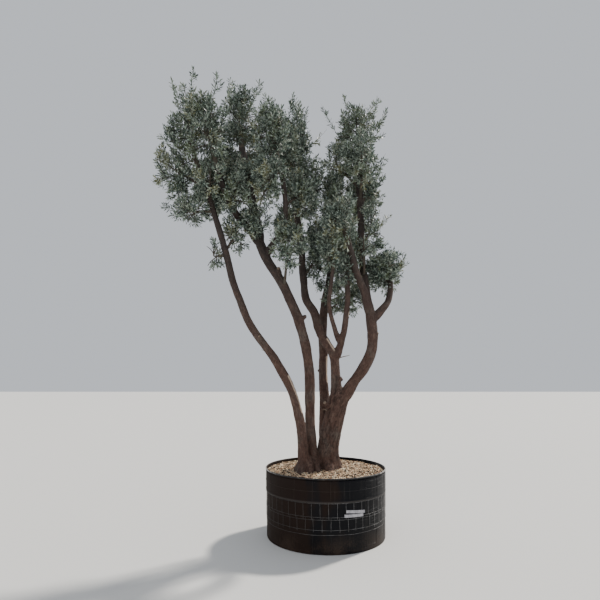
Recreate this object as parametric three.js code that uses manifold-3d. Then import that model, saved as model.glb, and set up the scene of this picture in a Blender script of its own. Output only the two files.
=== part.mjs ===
// An olive tree with four stems, standing in a round growing pot filled with potting mix.
// Millimetres, +Z up. The origin is the centre of the pot's flat underside, and -Y is the front.

import * as THREE from "three";
import { mergeVertices } from "three/addons/utils/BufferGeometryUtils.js";
import Module from "manifold-3d";

const wasm = await Module();
wasm.setup();

const gap = 0.3; // clearance between pieces that touch

// Pot, with the potting mix filled to "soilLevel"
const potHeight = 640;
const potFootRadius = 580;
const potTopRadius = 591;
const potWall = 8;
const potFloor = 12;
const lipRadius = 600;
const lipHeight = 18;
const lipBevel = 4;
const collarFoot = 430;
const collarThickness = 7;
const collarBelowLip = 3;
const soilLevel = 600;
const potSegments = 40;

// Limbs
const ringStep = 240; // distance between the rings of a limb
const flareHeight = 110; // the root flare fades over this height
const lobeDepth = 0.35; // how strongly the root flare is lobed
const forkRounding = 0.72; // how far a limb that ends in a fork draws in at its end

// Stem of a mass of foliage
const stemShare = 0.55; // its radius as a share of its limb's
const stemRadiusLimit = 16;
const stemTaper = 0.6;
const stemSunk = 0.6; // how far back inside its limb's tip it starts, in tip radii
const stemReach = 0.72; // how far up its space it goes, as a share of the half-height
const stemBow = 0.12; // how far it carries on along its limb, as a share of the half-height

// Twigs
const twigRadius = 6.5;
const twigTaper = 0.5;
const twigsPerSquareMetre = 34; // of a mass's mean cross-section
const twigReach = [0.72, 0.6, 0.48, 0.36]; // how far out in the mass a twig ends, the first that is free
const twigTrials = 5;
const twigRootMiddle = 0.58; // where on the stem the twigs start, as a share of its length
const twigRootSpread = 0.3;
const twigTurn = 1.2; // how far a twig may stray from its even place, in radians
const twigRise = 0.4; // and in height, as a share of the half-height
const twigSunk = 0.35; // share of a twig that may lie beside the stems
const goldenAngle = Math.PI * (3 - Math.sqrt(5));

// Sprays: each blade stands for a spray of small leaves
const sprayLengths = [440, 370, 310, 255, 205, 165]; // the longest that fits is taken
const spraySlimness = 0.46; // width as a share of length
const sprayThickness = 8;
const sprayWidest = 0.58; // where along its length a spray is widest
const sprayMarks = [0.22, 0.4, 0.6, 0.8, 1]; // places along a spray that are kept apart from others
const sprayOverlap = 0.85; // how near two sprays may come, as a share of their half-widths together
const spraysPerSquareMetre = 146; // of a mass's mean cross-section
const sprayTrials = 90; // places tried for each spray, of which the roomiest is taken
const sprayRoots = [0.3, 0.96]; // where on its stem or twig a spray may start
const sprayScatter = 2; // how far a spray turns from straight outwards
const sprayLift = 0.2; // how much more of that turn is upwards
const spraySunk = 0.25; // share of a spray that may lie beside the stems
const roomLimit = 300; // more room than this counts no further
const roomBase = 150; // the greater, the more a spray's length counts against its room
const clearance = 4; // least distance from a twig or spray to another limb
const spaceMargin = 0.03; // share of a mass's radius kept free beside its neighbour

// Each stem or bough follows its waypoints and tapers evenly from its base radius to its tip radius.
// A limb with a flare starts with a flat cut on the potting mix, and the others start inside a parent.
// A mass of foliage leaves its limb at a waypoint (a fraction lies between two) and fills an
// ellipsoid of half-sizes "size" whose centre lies "out" from there.
const limbs = {
  trunk_right: {
    base: 91, tip: 104, sides: 14, flare: 0.5, lobes: 5, forked: true,
    path: [[32, 50, soilLevel], [24, 25, 800], [62, 10, 990], [106, 0, 1190], [150, -10, 1370]],
    masses: [],
  },
  stem_middle: {
    base: 52, tip: 48, sides: 10, flare: 0.5, lobes: 3, cutBy: ["trunk_right"],
    path: [[-130, 0, soilLevel], [-138, -40, 850], [-153, -50, 1200], [-162, -60, 1600], [-208, -70, 1910],
      [-290, -90, 2160], [-420, -110, 2450], [-585, -130, 2720], [-690, -150, 2960]],
    masses: [
      { name: "foliage_middle_low", from: 6, out: [47, -370, 330], size: [200, 200, 300] },
    ],
  },
  stem_left: {
    base: 48, tip: 27, sides: 10, flare: 0.55, lobes: 4, cutBy: ["trunk_right", "stem_middle"],
    path: [[-210, -150, soilLevel], [-240, -165, 1010], [-330, -190, 1380], [-500, -210, 1690],
      [-720, -240, 1990], [-900, -280, 2380], [-1010, -320, 2780], [-1130, -360, 3190], [-1300, -400, 3670]],
    masses: [
      { name: "foliage_left_top", from: 8, out: [-140, -30, 385], size: [205, 230, 485] },
      { name: "foliage_left_side", from: 7.5, out: [-335, 80, 230], size: [255, 260, 310] },
      { name: "foliage_left_low", from: 7, out: [-250, 20, 10], size: [240, 210, 190] },
      { name: "foliage_left_inner", from: 7.6, out: [60, 270, 105], size: [275, 290, 325] },
      { name: "foliage_left_fork", from: 6, out: [95, 80, 215], size: [165, 170, 245] },
      { name: "foliage_left_tuft", from: 5.9, out: [-120, -20, -10], size: [130, 130, 190] },
      { name: "foliage_left_near", from: 7.3, out: [38, -188, 135], size: [200, 180, 230] },
    ],
  },
  stem_back: {
    base: 54, tip: 34, sides: 10, flare: 0.45, lobes: 3, cutBy: ["trunk_right", "stem_middle"],
    path: [[-5, 200, soilLevel], [3, 205, 870], [8, 220, 1280], [-3, 240, 1710], [0, 270, 2040],
      [25, 310, 2330], [90, 370, 2690], [150, 440, 3060], [165, 480, 3320]],
    masses: [
      { name: "foliage_back_top", from: 8, out: [-5, 80, 310], size: [215, 260, 380] },
      { name: "foliage_back_right", from: 6, out: [210, 130, 360], size: [195, 230, 290] },
      { name: "foliage_back_low", from: 4.6, out: [232, -63, 190], size: [250, 200, 225] },
    ],
  },
  bough_centre: {
    base: 53, tip: 33, sides: 10, cutBy: ["trunk_right"],
    path: [[125, 0, 1290], [113, 0, 1500], [98, 20, 1740], [20, 30, 1880], [-53, 50, 2020], [-105, 80, 2200],
      [-190, 120, 2380], [-216, 180, 2610], [-232, 250, 2890], [-278, 320, 3270], [-338, 400, 3660],
      [-358, 460, 4070]],
    masses: [
      { name: "foliage_centre_top", from: 11, out: [65, 40, 370], size: [225, 260, 475] },
      { name: "foliage_centre_side", from: 9.5, out: [140, 90, 330], size: [275, 260, 400] },
      { name: "foliage_centre_front", from: 10, out: [-110, -300, 420], size: [215, 250, 350] },
      { name: "foliage_centre_back", from: 9, out: [-150, 240, 60], size: [175, 230, 270] },
      { name: "foliage_centre_low", from: 7, out: [170, 120, 300], size: [205, 210, 440] },
    ],
  },
  bough_front_right: {
    base: 41, tip: 21, sides: 8, cutBy: ["bough_centre"],
    path: [[100, 20, 1700], [148, 0, 1815], [176, -35, 1900], [203, -60, 1990], [227, -110, 2180],
      [244, -150, 2375], [232, -180, 2590]],
    masses: [
      { name: "foliage_front_right", from: 6, out: [16, 30, 125], size: [180, 200, 325] },
    ],
  },
  bough_front_left: {
    base: 25, tip: 18, sides: 6, cutBy: ["bough_front_right"],
    path: [[172, -25, 1870], [119, -60, 1970], [76, -100, 2120], [48, -160, 2280], [60, -240, 2450],
      [77, -320, 2610]],
    masses: [
      { name: "foliage_front_left", from: 5, out: [-17, -30, 190], size: [150, 190, 265] },
    ],
  },
  bough_right: {
    base: 52, tip: 54, sides: 10, forked: true, cutBy: ["trunk_right", "bough_centre"],
    path: [[178, -15, 1285], [302, -40, 1482], [406, -60, 1621], [478, -80, 1774], [494, -90, 1946],
      [480, -100, 2111], [472, -100, 2235]],
    masses: [],
  },
  bough_right_top: {
    base: 42, tip: 35, sides: 10, cutBy: ["bough_right"],
    path: [[470, -95, 2180], [445, -30, 2440], [422, 40, 2726], [421, 100, 3081], [431, 160, 3510],
      [408, 220, 3960]],
    masses: [
      { name: "foliage_right_top", from: 5, out: [10, 70, 460], size: [325, 280, 405] },
      { name: "foliage_right_front", from: 4, out: [-30, -390, 340], size: [205, 240, 330] },
      { name: "foliage_right_side", from: 3.8, out: [110, 50, 260], size: [190, 240, 300] },
      { name: "foliage_right_back", from: 4, out: [40, 430, 200], size: [215, 240, 320] },
      { name: "foliage_right_link", from: 4.3, out: [-265, -80, 260], size: [190, 220, 265] },
      { name: "foliage_right_middle", from: 2.6, out: [105, -10, 200], size: [210, 240, 310] },
      { name: "foliage_right_near", from: 1.5, out: [-29, -236, 261], size: [130, 130, 170] },
    ],
  },
  bough_right_front: {
    base: 42, tip: 26, sides: 8, cutBy: ["bough_right", "bough_right_top"],
    path: [[470, -110, 2170], [412, -160, 2396], [328, -220, 2582], [272, -300, 2751], [218, -390, 2900]],
    masses: [
      { name: "foliage_right_hanging", from: 4, out: [-73, -90, 175], size: [200, 240, 340] },
    ],
  },
  bough_right_low: {
    base: 38, tip: 28, sides: 8, cutBy: ["bough_right", "bough_right_top"],
    path: [[486, -95, 2100], [590, -60, 2212], [678, 0, 2320], [720, 60, 2466], [720, 90, 2570]],
    masses: [
      { name: "foliage_right_low", from: 4, out: [-50, -5, 95], size: [290, 260, 250] },
    ],
  },
  bough_left_back: {
    base: 46, tip: 35, sides: 10, cutBy: ["stem_middle"],
    path: [[-680, -150, 2920], [-739, -80, 3261], [-806, 0, 3541], [-861, 100, 3866], [-927, 180, 4147]],
    masses: [
      { name: "foliage_left_back_top", from: 4, out: [-55, 110, 420], size: [285, 300, 430] },
      { name: "foliage_left_back", from: 3.2, out: [-275, 370, 110], size: [255, 265, 330] },
      { name: "foliage_back", from: 2.8, out: [-20, 300, 110], size: [240, 270, 345] },
      { name: "foliage_middle_inner", from: 1.6, out: [-28, -290, 175], size: [150, 170, 220] },
    ],
  },
  bough_left_front: {
    base: 39, tip: 26, sides: 8, cutBy: ["stem_middle", "bough_left_back"],
    path: [[-670, -150, 2900], [-796, -220, 3060], [-911, -320, 3188], [-1023, -420, 3395],
      [-1096, -500, 3626]],
    masses: [
      { name: "foliage_left_front", from: 4, out: [-84, -66, 350], size: [250, 285, 410] },
      { name: "foliage_left_middle", from: 2, out: [8, -160, 151], size: [190, 190, 235] },
      { name: "foliage_middle_fork", from: 0.9, out: [30, -95, 70], size: [200, 165, 200] },
    ],
  },
  bough_middle_front: {
    base: 31, tip: 22, sides: 8, cutBy: ["stem_middle", "bough_left_back"],
    path: [[-610, -140, 2790], [-525, -200, 2905], [-439, -300, 2993], [-402, -380, 3199], [-427, -420, 3449],
      [-488, -460, 3752]],
    masses: [
      { name: "foliage_middle_top", from: 5, out: [-60, -40, 240], size: [205, 250, 370] },
      { name: "foliage_middle_front", from: 4, out: [-130, -100, 10], size: [195, 225, 290] },
      { name: "foliage_middle_right", from: 3.2, out: [174, 88, 165], size: [190, 200, 260] },
    ],
  },
};

const up = new THREE.Vector3(0, 0, 1);
const right = new THREE.Vector3(1, 0, 0);
const ahead = new THREE.Vector3(0, 1, 0);

function seededRandom(seed) {
  let state = seed;
  return () => {
    state = (state * 16807) % 2147483647;
    return state / 2147483647;
  };
}

// A geometry's shared vertices are merged, and triangles that shrink to a line are left out.
function closedGeometry(geometry) {
  const bare = geometry.clone();
  bare.deleteAttribute("normal");
  bare.deleteAttribute("uv");
  const merged = mergeVertices(bare, 1e-3);
  const kept = [];
  for (let i = 0; i < merged.index.count; i += 3) {
    const [a, b, c] = [0, 1, 2].map((k) => merged.index.getX(i + k));
    if (a !== b && b !== c && c !== a) kept.push(a, b, c);
  }
  merged.setIndex(kept);
  return merged;
}

function solidOf(geometry) {
  const closed = closedGeometry(geometry);
  return new wasm.Manifold(new wasm.Mesh({
    numProp: 3,
    vertProperties: new Float32Array(closed.attributes.position.array),
    triVerts: new Uint32Array(closed.index.array),
  }));
}

function geometryOf(solid) {
  const mesh = solid.getMesh();
  const geometry = new THREE.BufferGeometry();
  geometry.setAttribute("position", new THREE.BufferAttribute(new Float32Array(mesh.vertProperties), 3));
  geometry.setIndex(new THREE.BufferAttribute(new Uint32Array(mesh.triVerts), 1));
  return geometry;
}

function largestPiece(solid) {
  const pieces = solid.decompose();
  return pieces.reduce((best, piece) => (piece.volume() > best.volume() ? piece : best));
}

// A solid of revolution about Z from a profile of [radius, height] pairs
function turned(profile) {
  const points = profile.map(([radius, height]) => new THREE.Vector2(radius, height));
  return new THREE.LatheGeometry(points, potSegments).rotateX(Math.PI / 2);
}

// A round bar bent along a curve: radiusAt(along, height, angle) gives its radius. "grow" makes it
// larger all round, which is how a piece that meets it is cut back by the clearance.
function bentBar(curve, radiusAt, sides, rings, flatFoot = false, grow = 0) {
  const geometry = new THREE.CylinderGeometry(1, 1, 1, sides, rings);
  const position = geometry.attributes.position;
  const whole = curve.getPoint(1).sub(curve.getPoint(0)).normalize();
  const reference = Math.abs(whole.dot(right)) > 0.8 ? ahead : right;
  for (let i = 0; i < position.count; i += 1) {
    const along = position.getY(i) + 0.5;
    const [across, depth] = [position.getX(i), position.getZ(i)];
    const heading = flatFoot && along === 0 ? up.clone() : curve.getTangent(along);
    const side = reference.clone().addScaledVector(heading, -reference.dot(heading)).normalize();
    const front = side.clone().cross(heading);
    const centre = curve.getPoint(along);
    const radius = radiusAt(along, centre.z, Math.atan2(depth, across)) + grow;
    const lengthening = along === 1 ? grow : along === 0 ? -grow : 0;
    centre.addScaledVector(heading, lengthening);
    centre.addScaledVector(side, across * radius).addScaledVector(front, depth * radius);
    position.setXYZ(i, centre.x, centre.y, centre.z);
  }
  return geometry;
}

function curveThrough(points) {
  return new THREE.CatmullRomCurve3(points.map((p) => new THREE.Vector3(...p)), false, "centripetal");
}

function limbRadius(limb, along, height, angle) {
  const even = THREE.MathUtils.lerp(limb.base, limb.tip, along);
  const drawnIn = limb.forked && along === 1 ? forkRounding : 1;
  if (!limb.flare) return even * drawnIn;
  const fade = Math.exp(-(height - soilLevel) / flareHeight);
  const lobe = 1 + lobeDepth * Math.cos(limb.lobes * angle);
  return even * drawnIn * (1 + limb.flare * fade * lobe);
}

function limbSolid(limb, grow = 0) {
  const curve = curveThrough(limb.path);
  const rings = Math.ceil(curve.getLength() / ringStep) + (limb.flare ? 2 : 0);
  const radiusAt = (along, height, angle) => limbRadius(limb, along, height, angle);
  return solidOf(bentBar(curve, radiusAt, limb.sides, rings, Boolean(limb.flare), grow));
}

function cutLimb(limb) {
  let solid = limbSolid(limb);
  for (const parent of limb.cutBy ?? []) {
    solid = solid.subtract(limbSolid(limbs[parent], gap));
  }
  return largestPiece(solid);
}

// Foliage: every mass's space and stem are settled first, then each is filled with twigs and sprays.
const masses = [];
for (const [limbName, limb] of Object.entries(limbs)) {
  const curve = curveThrough(limb.path);
  const last = limb.path.length - 1;
  for (const mass of limb.masses) {
    const along = mass.from / last;
    const start = curve.getPoint(along);
    const centre = start.clone().add(new THREE.Vector3(...mass.out));
    const size = new THREE.Vector3(...mass.size);
    const atTip = mass.from === last;
    const heading = atTip ? curve.getTangent(1) : centre.clone().sub(start).normalize();
    const limbRadiusThere = limbRadius(limb, along, start.z, 0);
    const root = atTip ? start.clone().addScaledVector(heading, -stemSunk * limbRadiusThere) : start;
    const top = centre.clone().addScaledVector(up, stemReach * size.z);
    const bend = root.clone().lerp(centre, 0.5).addScaledVector(heading, stemBow * size.z);
    masses.push({
      name: mass.name, limbName, centre, size,
      stemRadius: Math.min(stemShare * limbRadiusThere, stemRadiusLimit),
      stem: new THREE.CatmullRomCurve3([root, bend, centre, top], false, "centripetal"),
      seed: 101 + 37 * masses.length,
    });
  }
}

// How far out a point lies in a mass's space: 0 at the centre and 1 on its surface
function depthIn(mass, point) {
  return point.clone().sub(mass.centre).divide(mass.size).length();
}

function insideOwnSpace(mass, point) {
  const own = depthIn(mass, point);
  if (own > 1) return false;
  return masses.every((other) => other === mass || own + spaceMargin < depthIn(other, point));
}

function samplesOf(curve, radiusAt, owner = null) {
  const count = Math.ceil(curve.getLength() / 25);
  const samples = [];
  for (let i = 0; i <= count; i += 1) {
    const point = curve.getPoint(i / count);
    samples.push({ point, radius: radiusAt(i / count, point.z, 0), owner });
  }
  return samples;
}

const obstacles = [
  ...Object.values(limbs).flatMap((limb) => {
    const widest = (along, height, angle) => 1.1 * limbRadius(limb, along, height, angle);
    return samplesOf(curveThrough(limb.path), widest);
  }),
  ...masses.flatMap((mass) => samplesOf(mass.stem, () => mass.stemRadius, mass)),
];
for (const mass of masses) {
  mass.obstacles = obstacles.filter(({ point, radius, owner }) =>
    owner !== mass && point.distanceTo(mass.centre) < mass.size.length() + radius);
}

// A straight piece of half-width "reach" from a to b is free when its length past "skip" is in its
// own space and clear of every limb and of the stems of the other masses.
function isFree(mass, a, b, reach, skip) {
  const steps = 5;
  for (let k = steps; k >= 0; k -= 1) {
    const point = a.clone().lerp(b, skip + ((1 - skip) * k) / steps);
    if (!insideOwnSpace(mass, point)) return false;
    const near = mass.obstacles.some((obstacle) =>
      obstacle.point.distanceTo(point) < obstacle.radius + reach + clearance);
    if (near) return false;
  }
  return true;
}

function bladeTurn(direction, roll) {
  const rolled = new THREE.Quaternion().setFromAxisAngle(ahead, roll);
  return new THREE.Quaternion().setFromUnitVectors(ahead, direction).multiply(rolled);
}

function sideCorners(root, direction, length, roll) {
  const side = right.clone().applyQuaternion(bladeTurn(direction, roll));
  const middle = root.clone().addScaledVector(direction, sprayWidest * length);
  return [-1, 1].map((way) => middle.clone().addScaledVector(side, (way * spraySlimness * length) / 2));
}

// A blade with a keel: three-sided, pointed at both ends and flattened
function spray(root, direction, length, roll) {
  const profile = [new THREE.Vector2(0, 0), new THREE.Vector2(1, sprayWidest), new THREE.Vector2(0, 1)];
  const blade = new THREE.LatheGeometry(profile, 3);
  const [width, depth] = [Math.sqrt(3), 1.5]; // of the unit triangle that the profile sweeps
  blade.scale((length * spraySlimness) / width, length, sprayThickness / depth);
  blade.applyQuaternion(bladeTurn(direction, roll));
  return blade.translate(root.x, root.y, root.z);
}

function twig(a, b) {
  return bentBar(new THREE.LineCurve3(a, b), (along) => twigRadius * (1 - twigTaper * along), 3, 1);
}

// Twigs leave the stem all round it by the golden angle, from the mass's top to its bottom.
function growTwigs(mass, section, random) {
  const twigs = [];
  const count = Math.round(twigsPerSquareMetre * section) + 1;
  for (let i = 0; i < count; i += 1) {
    for (let trial = 0; trial < twigTrials; trial += 1) {
      const evenHeight = 1 - (2 * (i + 0.5)) / count;
      const height = THREE.MathUtils.clamp(evenHeight + twigRise * (random() - 0.5), -1, 1);
      const azimuth = i * goldenAngle + mass.seed + twigTurn * (random() - 0.5);
      const flat = Math.sqrt(1 - height * height);
      const aim = new THREE.Vector3(flat * Math.cos(azimuth), flat * Math.sin(azimuth), height);
      const root = mass.stem.getPoint(twigRootMiddle + twigRootSpread * height);
      const rim = aim.clone().multiply(mass.size);
      const ends = twigReach.map((share) => mass.centre.clone().addScaledVector(rim, share));
      const end = ends.find((point) => isFree(mass, root, point, twigRadius, twigSunk));
      if (!end) continue;
      twigs.push([root, end]);
      break;
    }
  }
  return twigs;
}

// A spray starts on the stem or on a twig, points outwards and somewhat upwards, and is as long as fits.
function trySpray(mass, twigs, taken, random) {
  const carrier = Math.floor(random() * (twigs.length + 1)) - 1;
  const share = THREE.MathUtils.lerp(...sprayRoots, random());
  const onTwig = ([a, b]) => a.clone().lerp(b, share);
  const root = carrier < 0 ? mass.stem.getPoint(share) : onTwig(twigs[carrier]);
  const direction = root.clone().sub(mass.centre).divide(mass.size);
  const turn = new THREE.Vector3(random() - 0.5, random() - 0.5, random() - 0.5 + sprayLift);
  direction.addScaledVector(turn, sprayScatter).normalize();
  const roll = random() * Math.PI;
  const length = sprayLengths.find((trial) => {
    const tip = root.clone().addScaledVector(direction, trial);
    return isFree(mass, root, tip, 0.3 * spraySlimness * trial, spraySunk)
      && sideCorners(root, direction, trial, roll).every((corner) => insideOwnSpace(mass, corner));
  });
  if (!length) return null;
  const marks = sprayMarks.map((share) => {
    const narrowing = share < sprayWidest ? share / sprayWidest : (1 - share) / (1 - sprayWidest);
    const half = (narrowing * spraySlimness * length) / 2;
    return { point: root.clone().addScaledVector(direction, share * length), half };
  });
  const rooms = marks.flatMap(({ point, half }) => taken.map((other) =>
    other.point.distanceTo(point) - sprayOverlap * (half + other.half)));
  const room = Math.min(roomLimit, ...rooms);
  if (room < clearance) return null;
  return { root, direction, length, marks, roll, score: (room + roomBase) * length };
}

function foliageSolid(mass) {
  const random = seededRandom(mass.seed);
  const pieces = [bentBar(mass.stem, (along) => mass.stemRadius * (1 - stemTaper * along), 3, 4)];
  const { x, y, z } = mass.size;
  const section = ((x * y + y * z + z * x) / 3) * 1e-6;
  const twigs = growTwigs(mass, section, random);
  pieces.push(...twigs.map(([a, b]) => twig(a, b)));
  const taken = [];
  const sprayCount = Math.round(spraysPerSquareMetre * section) + 2;
  for (let i = 0; i < sprayCount; i += 1) {
    let best = null;
    for (let trial = 0; trial < sprayTrials; trial += 1) {
      const found = trySpray(mass, twigs, taken, random);
      if (found && (!best || found.score > best.score)) best = found;
    }
    if (!best) continue;
    taken.push(...best.marks);
    pieces.push(spray(best.root, best.direction, best.length, best.roll));
  }
  const whole = wasm.Manifold.union(pieces.map(solidOf));
  const cut = whole.subtract(limbSolid(limbs[mass.limbName], gap));
  return largestPiece(cut);
}

function finish(colour, roughness) {
  return new THREE.MeshStandardMaterial({ color: colour, roughness, metalness: 0 });
}

const blackPlastic = finish(0x1d1c1e, 0.55);
const wornPlastic = finish(0x2a2628, 0.6);
const woodChips = finish(0x9a7c63, 0.95);
const bark = finish(0x5f4c41, 0.9);
const leafColours = [0x59644a, 0x636d55, 0x6d765c];

const tree = new THREE.Group();

function addNode(name, geometry, material) {
  const mesh = new THREE.Mesh(geometry, material);
  mesh.name = name;
  tree.add(mesh);
}

function potRadius(height) {
  return THREE.MathUtils.lerp(potFootRadius, potTopRadius, height / potHeight);
}

const lipFoot = potHeight - lipHeight;
const innerRadius = (height) => potRadius(height) - potWall;

addNode("pot", closedGeometry(turned([
  [0, 0], [potFootRadius, 0], [potRadius(lipFoot), lipFoot], [lipRadius, lipFoot + lipBevel],
  [lipRadius, potHeight - lipBevel], [lipRadius - lipBevel, potHeight], [innerRadius(potHeight), potHeight],
  [innerRadius(potFloor), potFloor], [0, potFloor],
])), blackPlastic);

const collarTop = lipFoot - collarBelowLip;
const collarInside = (height) => potRadius(height) + gap;
addNode("pot_collar", closedGeometry(turned([
  [collarInside(collarFoot), collarFoot], [collarInside(collarFoot) + collarThickness, collarFoot],
  [collarInside(collarTop) + collarThickness, collarTop], [collarInside(collarTop), collarTop],
  [collarInside(collarFoot), collarFoot],
])), wornPlastic);

const mixFoot = potFloor + gap;
const mixTop = soilLevel - gap;
addNode("potting_mix", closedGeometry(turned([
  [0, mixFoot], [innerRadius(mixFoot) - gap, mixFoot], [innerRadius(mixTop) - gap, mixTop], [0, mixTop],
])), woodChips);

for (const [name, limb] of Object.entries(limbs)) {
  addNode(name, geometryOf(cutLimb(limb)), bark);
}

masses.forEach((mass, i) => {
  addNode(mass.name, geometryOf(foliageSolid(mass)), finish(leafColours[i % leafColours.length], 0.7));
});

export default tree;
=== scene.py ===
import math
import bmesh
import bpy
import numpy as np
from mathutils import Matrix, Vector, kdtree


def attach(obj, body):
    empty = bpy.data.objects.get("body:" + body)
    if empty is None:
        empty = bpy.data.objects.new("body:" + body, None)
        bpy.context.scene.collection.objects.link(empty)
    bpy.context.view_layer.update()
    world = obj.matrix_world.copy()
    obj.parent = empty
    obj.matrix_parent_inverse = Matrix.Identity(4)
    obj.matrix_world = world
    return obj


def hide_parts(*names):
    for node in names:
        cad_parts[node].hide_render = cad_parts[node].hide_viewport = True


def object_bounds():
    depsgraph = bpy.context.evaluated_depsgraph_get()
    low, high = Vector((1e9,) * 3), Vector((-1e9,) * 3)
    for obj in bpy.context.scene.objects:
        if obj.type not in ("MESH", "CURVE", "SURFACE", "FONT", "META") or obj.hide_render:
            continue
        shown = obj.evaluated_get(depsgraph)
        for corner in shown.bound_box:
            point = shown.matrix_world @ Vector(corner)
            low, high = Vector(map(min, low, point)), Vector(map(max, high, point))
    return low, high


# An olive tree with four stems in a round growing pot. Metres, +Z up, and -Y is the front.
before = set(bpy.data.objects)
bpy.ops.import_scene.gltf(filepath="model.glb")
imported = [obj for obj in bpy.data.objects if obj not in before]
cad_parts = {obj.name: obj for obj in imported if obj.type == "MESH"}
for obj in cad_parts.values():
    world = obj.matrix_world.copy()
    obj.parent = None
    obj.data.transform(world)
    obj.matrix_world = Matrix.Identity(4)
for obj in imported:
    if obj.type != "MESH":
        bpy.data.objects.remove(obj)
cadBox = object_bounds()

view = {
    "place": (-0.255, -5.02, 1.55),
    "upwards": 8.9,  # degrees above level
    "lens": 28.68,
    "sensor": 36,
}


def setCamera():
    camera = bpy.data.objects.new("camera", bpy.data.cameras.new("camera"))
    bpy.context.scene.collection.objects.link(camera)
    camera.location = view["place"]
    camera.rotation_euler = (math.radians(90 + view["upwards"]), 0, 0)
    camera.data.lens = view["lens"]
    camera.data.sensor_width = view["sensor"]
    camera.data.sensor_fit = "HORIZONTAL"
    bpy.context.scene.camera = camera


def both(operation):
    # the plain and the reflected form of one operator
    def plain(self, other):
        return self.shader.add("ShaderNodeMath", {"operation": operation}, {0: self, 1: other})

    def reflected(self, other):
        return self.shader.add("ShaderNodeMath", {"operation": operation}, {0: other, 1: self})
    return plain, reflected


class Field:
    # an output socket that can stand in a sum
    def __init__(self, shader, socket):
        self.shader = shader
        self.socket = socket

    __add__, __radd__ = both("ADD")
    __sub__, __rsub__ = both("SUBTRACT")
    __mul__, __rmul__ = both("MULTIPLY")


class Shader:
    def __init__(self, name, constants):
        self.material = bpy.data.materials.new(name)
        self.material.use_nodes = True
        self.tree = self.material.node_tree
        self.surface = self.tree.nodes["Principled BSDF"]
        for socket, value in constants.items():
            self.look(socket, value)

    def give(self, socket, value):
        if isinstance(value, Field):
            self.tree.links.new(value.socket, socket)
        else:
            socket.default_value = (*value, 1) if socket.type == "RGBA" and len(value) == 3 else value

    def look(self, socket, value):
        self.give(self.surface.inputs[socket], value)

    def add(self, kind, settings=None, sockets=None, out=0):
        node = self.tree.nodes.new(kind)
        for name, value in (settings or {}).items():
            if name == "stops":
                self.setStops(node.color_ramp, value)
            else:
                setattr(node, name, value)
        for name, value in (sockets or {}).items():
            self.give(node.inputs[name], value)
        return Field(self, node.outputs[out])

    def setStops(self, ramp, stops):
        while len(ramp.elements) < len(stops):
            ramp.elements.new(0.5)
        for element, (place, colour) in zip(ramp.elements, stops):
            element.position = place
            element.color = (*colour, 1)

    def place(self):
        return self.add("ShaderNodeTexCoord", out="Object")

    def mark(self, name, out="Fac"):
        return self.add("ShaderNodeAttribute", {"attribute_name": name}, out=out)

    def part(self, vector, axis):
        return self.add("ShaderNodeSeparateXYZ", {}, {0: vector}, axis)

    def scaled(self, vector, scale):
        # one number scales a texture evenly, and three draw it out along an axis
        if not isinstance(scale, tuple):
            return {"Vector": vector, "Scale": scale}
        drawnOut = self.add("ShaderNodeVectorMath", {"operation": "MULTIPLY"}, {0: vector, 1: scale})
        return {"Vector": drawnOut, "Scale": 1}

    def noise(self, vector, scale, detail=3, roughness=0.55):
        sockets = {**self.scaled(vector, scale), "Detail": detail, "Roughness": roughness}
        return self.add("ShaderNodeTexNoise", {}, sockets)

    def cells(self, vector, scale):
        return self.add("ShaderNodeTexVoronoi", {"feature": "DISTANCE_TO_EDGE"}, self.scaled(vector, scale))

    def ramp(self, value, stops):
        return self.add("ShaderNodeValToRGB", {"stops": stops}, {"Fac": value})

    def rise(self, value, low, high):
        sockets = {"Value": value, "From Min": low, "From Max": high}
        return self.add("ShaderNodeMapRange", {"interpolation_type": "SMOOTHSTEP"}, sockets)

    def blend(self, share, first, second):
        return self.add("ShaderNodeMix", {"data_type": "RGBA"}, {0: share, 6: first, 7: second}, 2)

    def relief(self, height, strength, distance):
        sockets = {"Height": height, "Strength": strength, "Distance": distance}
        self.look("Normal", self.add("ShaderNodeBump", {}, sockets))


def meshFrom(name, points, faceSets, smooth=False, kinds=None, marks=None):
    # faceSets are arrays of faces with the same number of corners, marks are values kept at the points
    mesh = bpy.data.meshes.new(name)
    corners = np.concatenate([np.asarray(faces).ravel() for faces in faceSets]).astype(np.int32)
    sizes = np.concatenate([np.full(len(faces), faces.shape[1]) for faces in faceSets])
    starts = np.concatenate([[0], np.cumsum(sizes)[:-1]]).astype(np.int32)
    mesh.vertices.add(len(points))
    mesh.vertices.foreach_set("co", np.asarray(points, np.float32).ravel())
    mesh.loops.add(len(corners))
    mesh.loops.foreach_set("vertex_index", corners)
    mesh.polygons.add(len(sizes))
    mesh.polygons.foreach_set("loop_start", starts)
    mesh.polygons.foreach_set("use_smooth", np.full(len(sizes), smooth))
    if kinds is not None:
        mesh.polygons.foreach_set("material_index", np.asarray(kinds, np.int32))
    for mark, values in (marks or {}).items():
        kind, field = ("FLOAT_VECTOR", "vector") if values.ndim == 2 else ("FLOAT", "value")
        layer = mesh.attributes.new(mark, kind, "POINT")
        layer.data.foreach_set(field, np.asarray(values, np.float32).ravel())
    mesh.update(calc_edges=True)
    return mesh


def joined(parts):
    # parts of the same make as one: each starts with its points and its arrays of faces
    bases = np.cumsum([0] + [len(part[0]) for part in parts[:-1]])
    faceSets = {}
    for part, base in zip(parts, bases):
        for faces in part[1]:
            faceSets.setdefault(faces.shape[1], []).append(faces + base)
    return np.vstack([part[0] for part in parts]), [np.vstack(faces) for faces in faceSets.values()]


def show(name, mesh, materials, slotName, *nodes):
    piece = bpy.data.objects.new(name, mesh)
    bpy.context.scene.collection.objects.link(piece)
    for material in materials:
        mesh.materials.append(material)
    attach(piece, "root")
    if nodes:
        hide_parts(*nodes)
    print(name, "has", len(mesh.loops) - 2 * len(mesh.polygons), "triangles")


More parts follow.
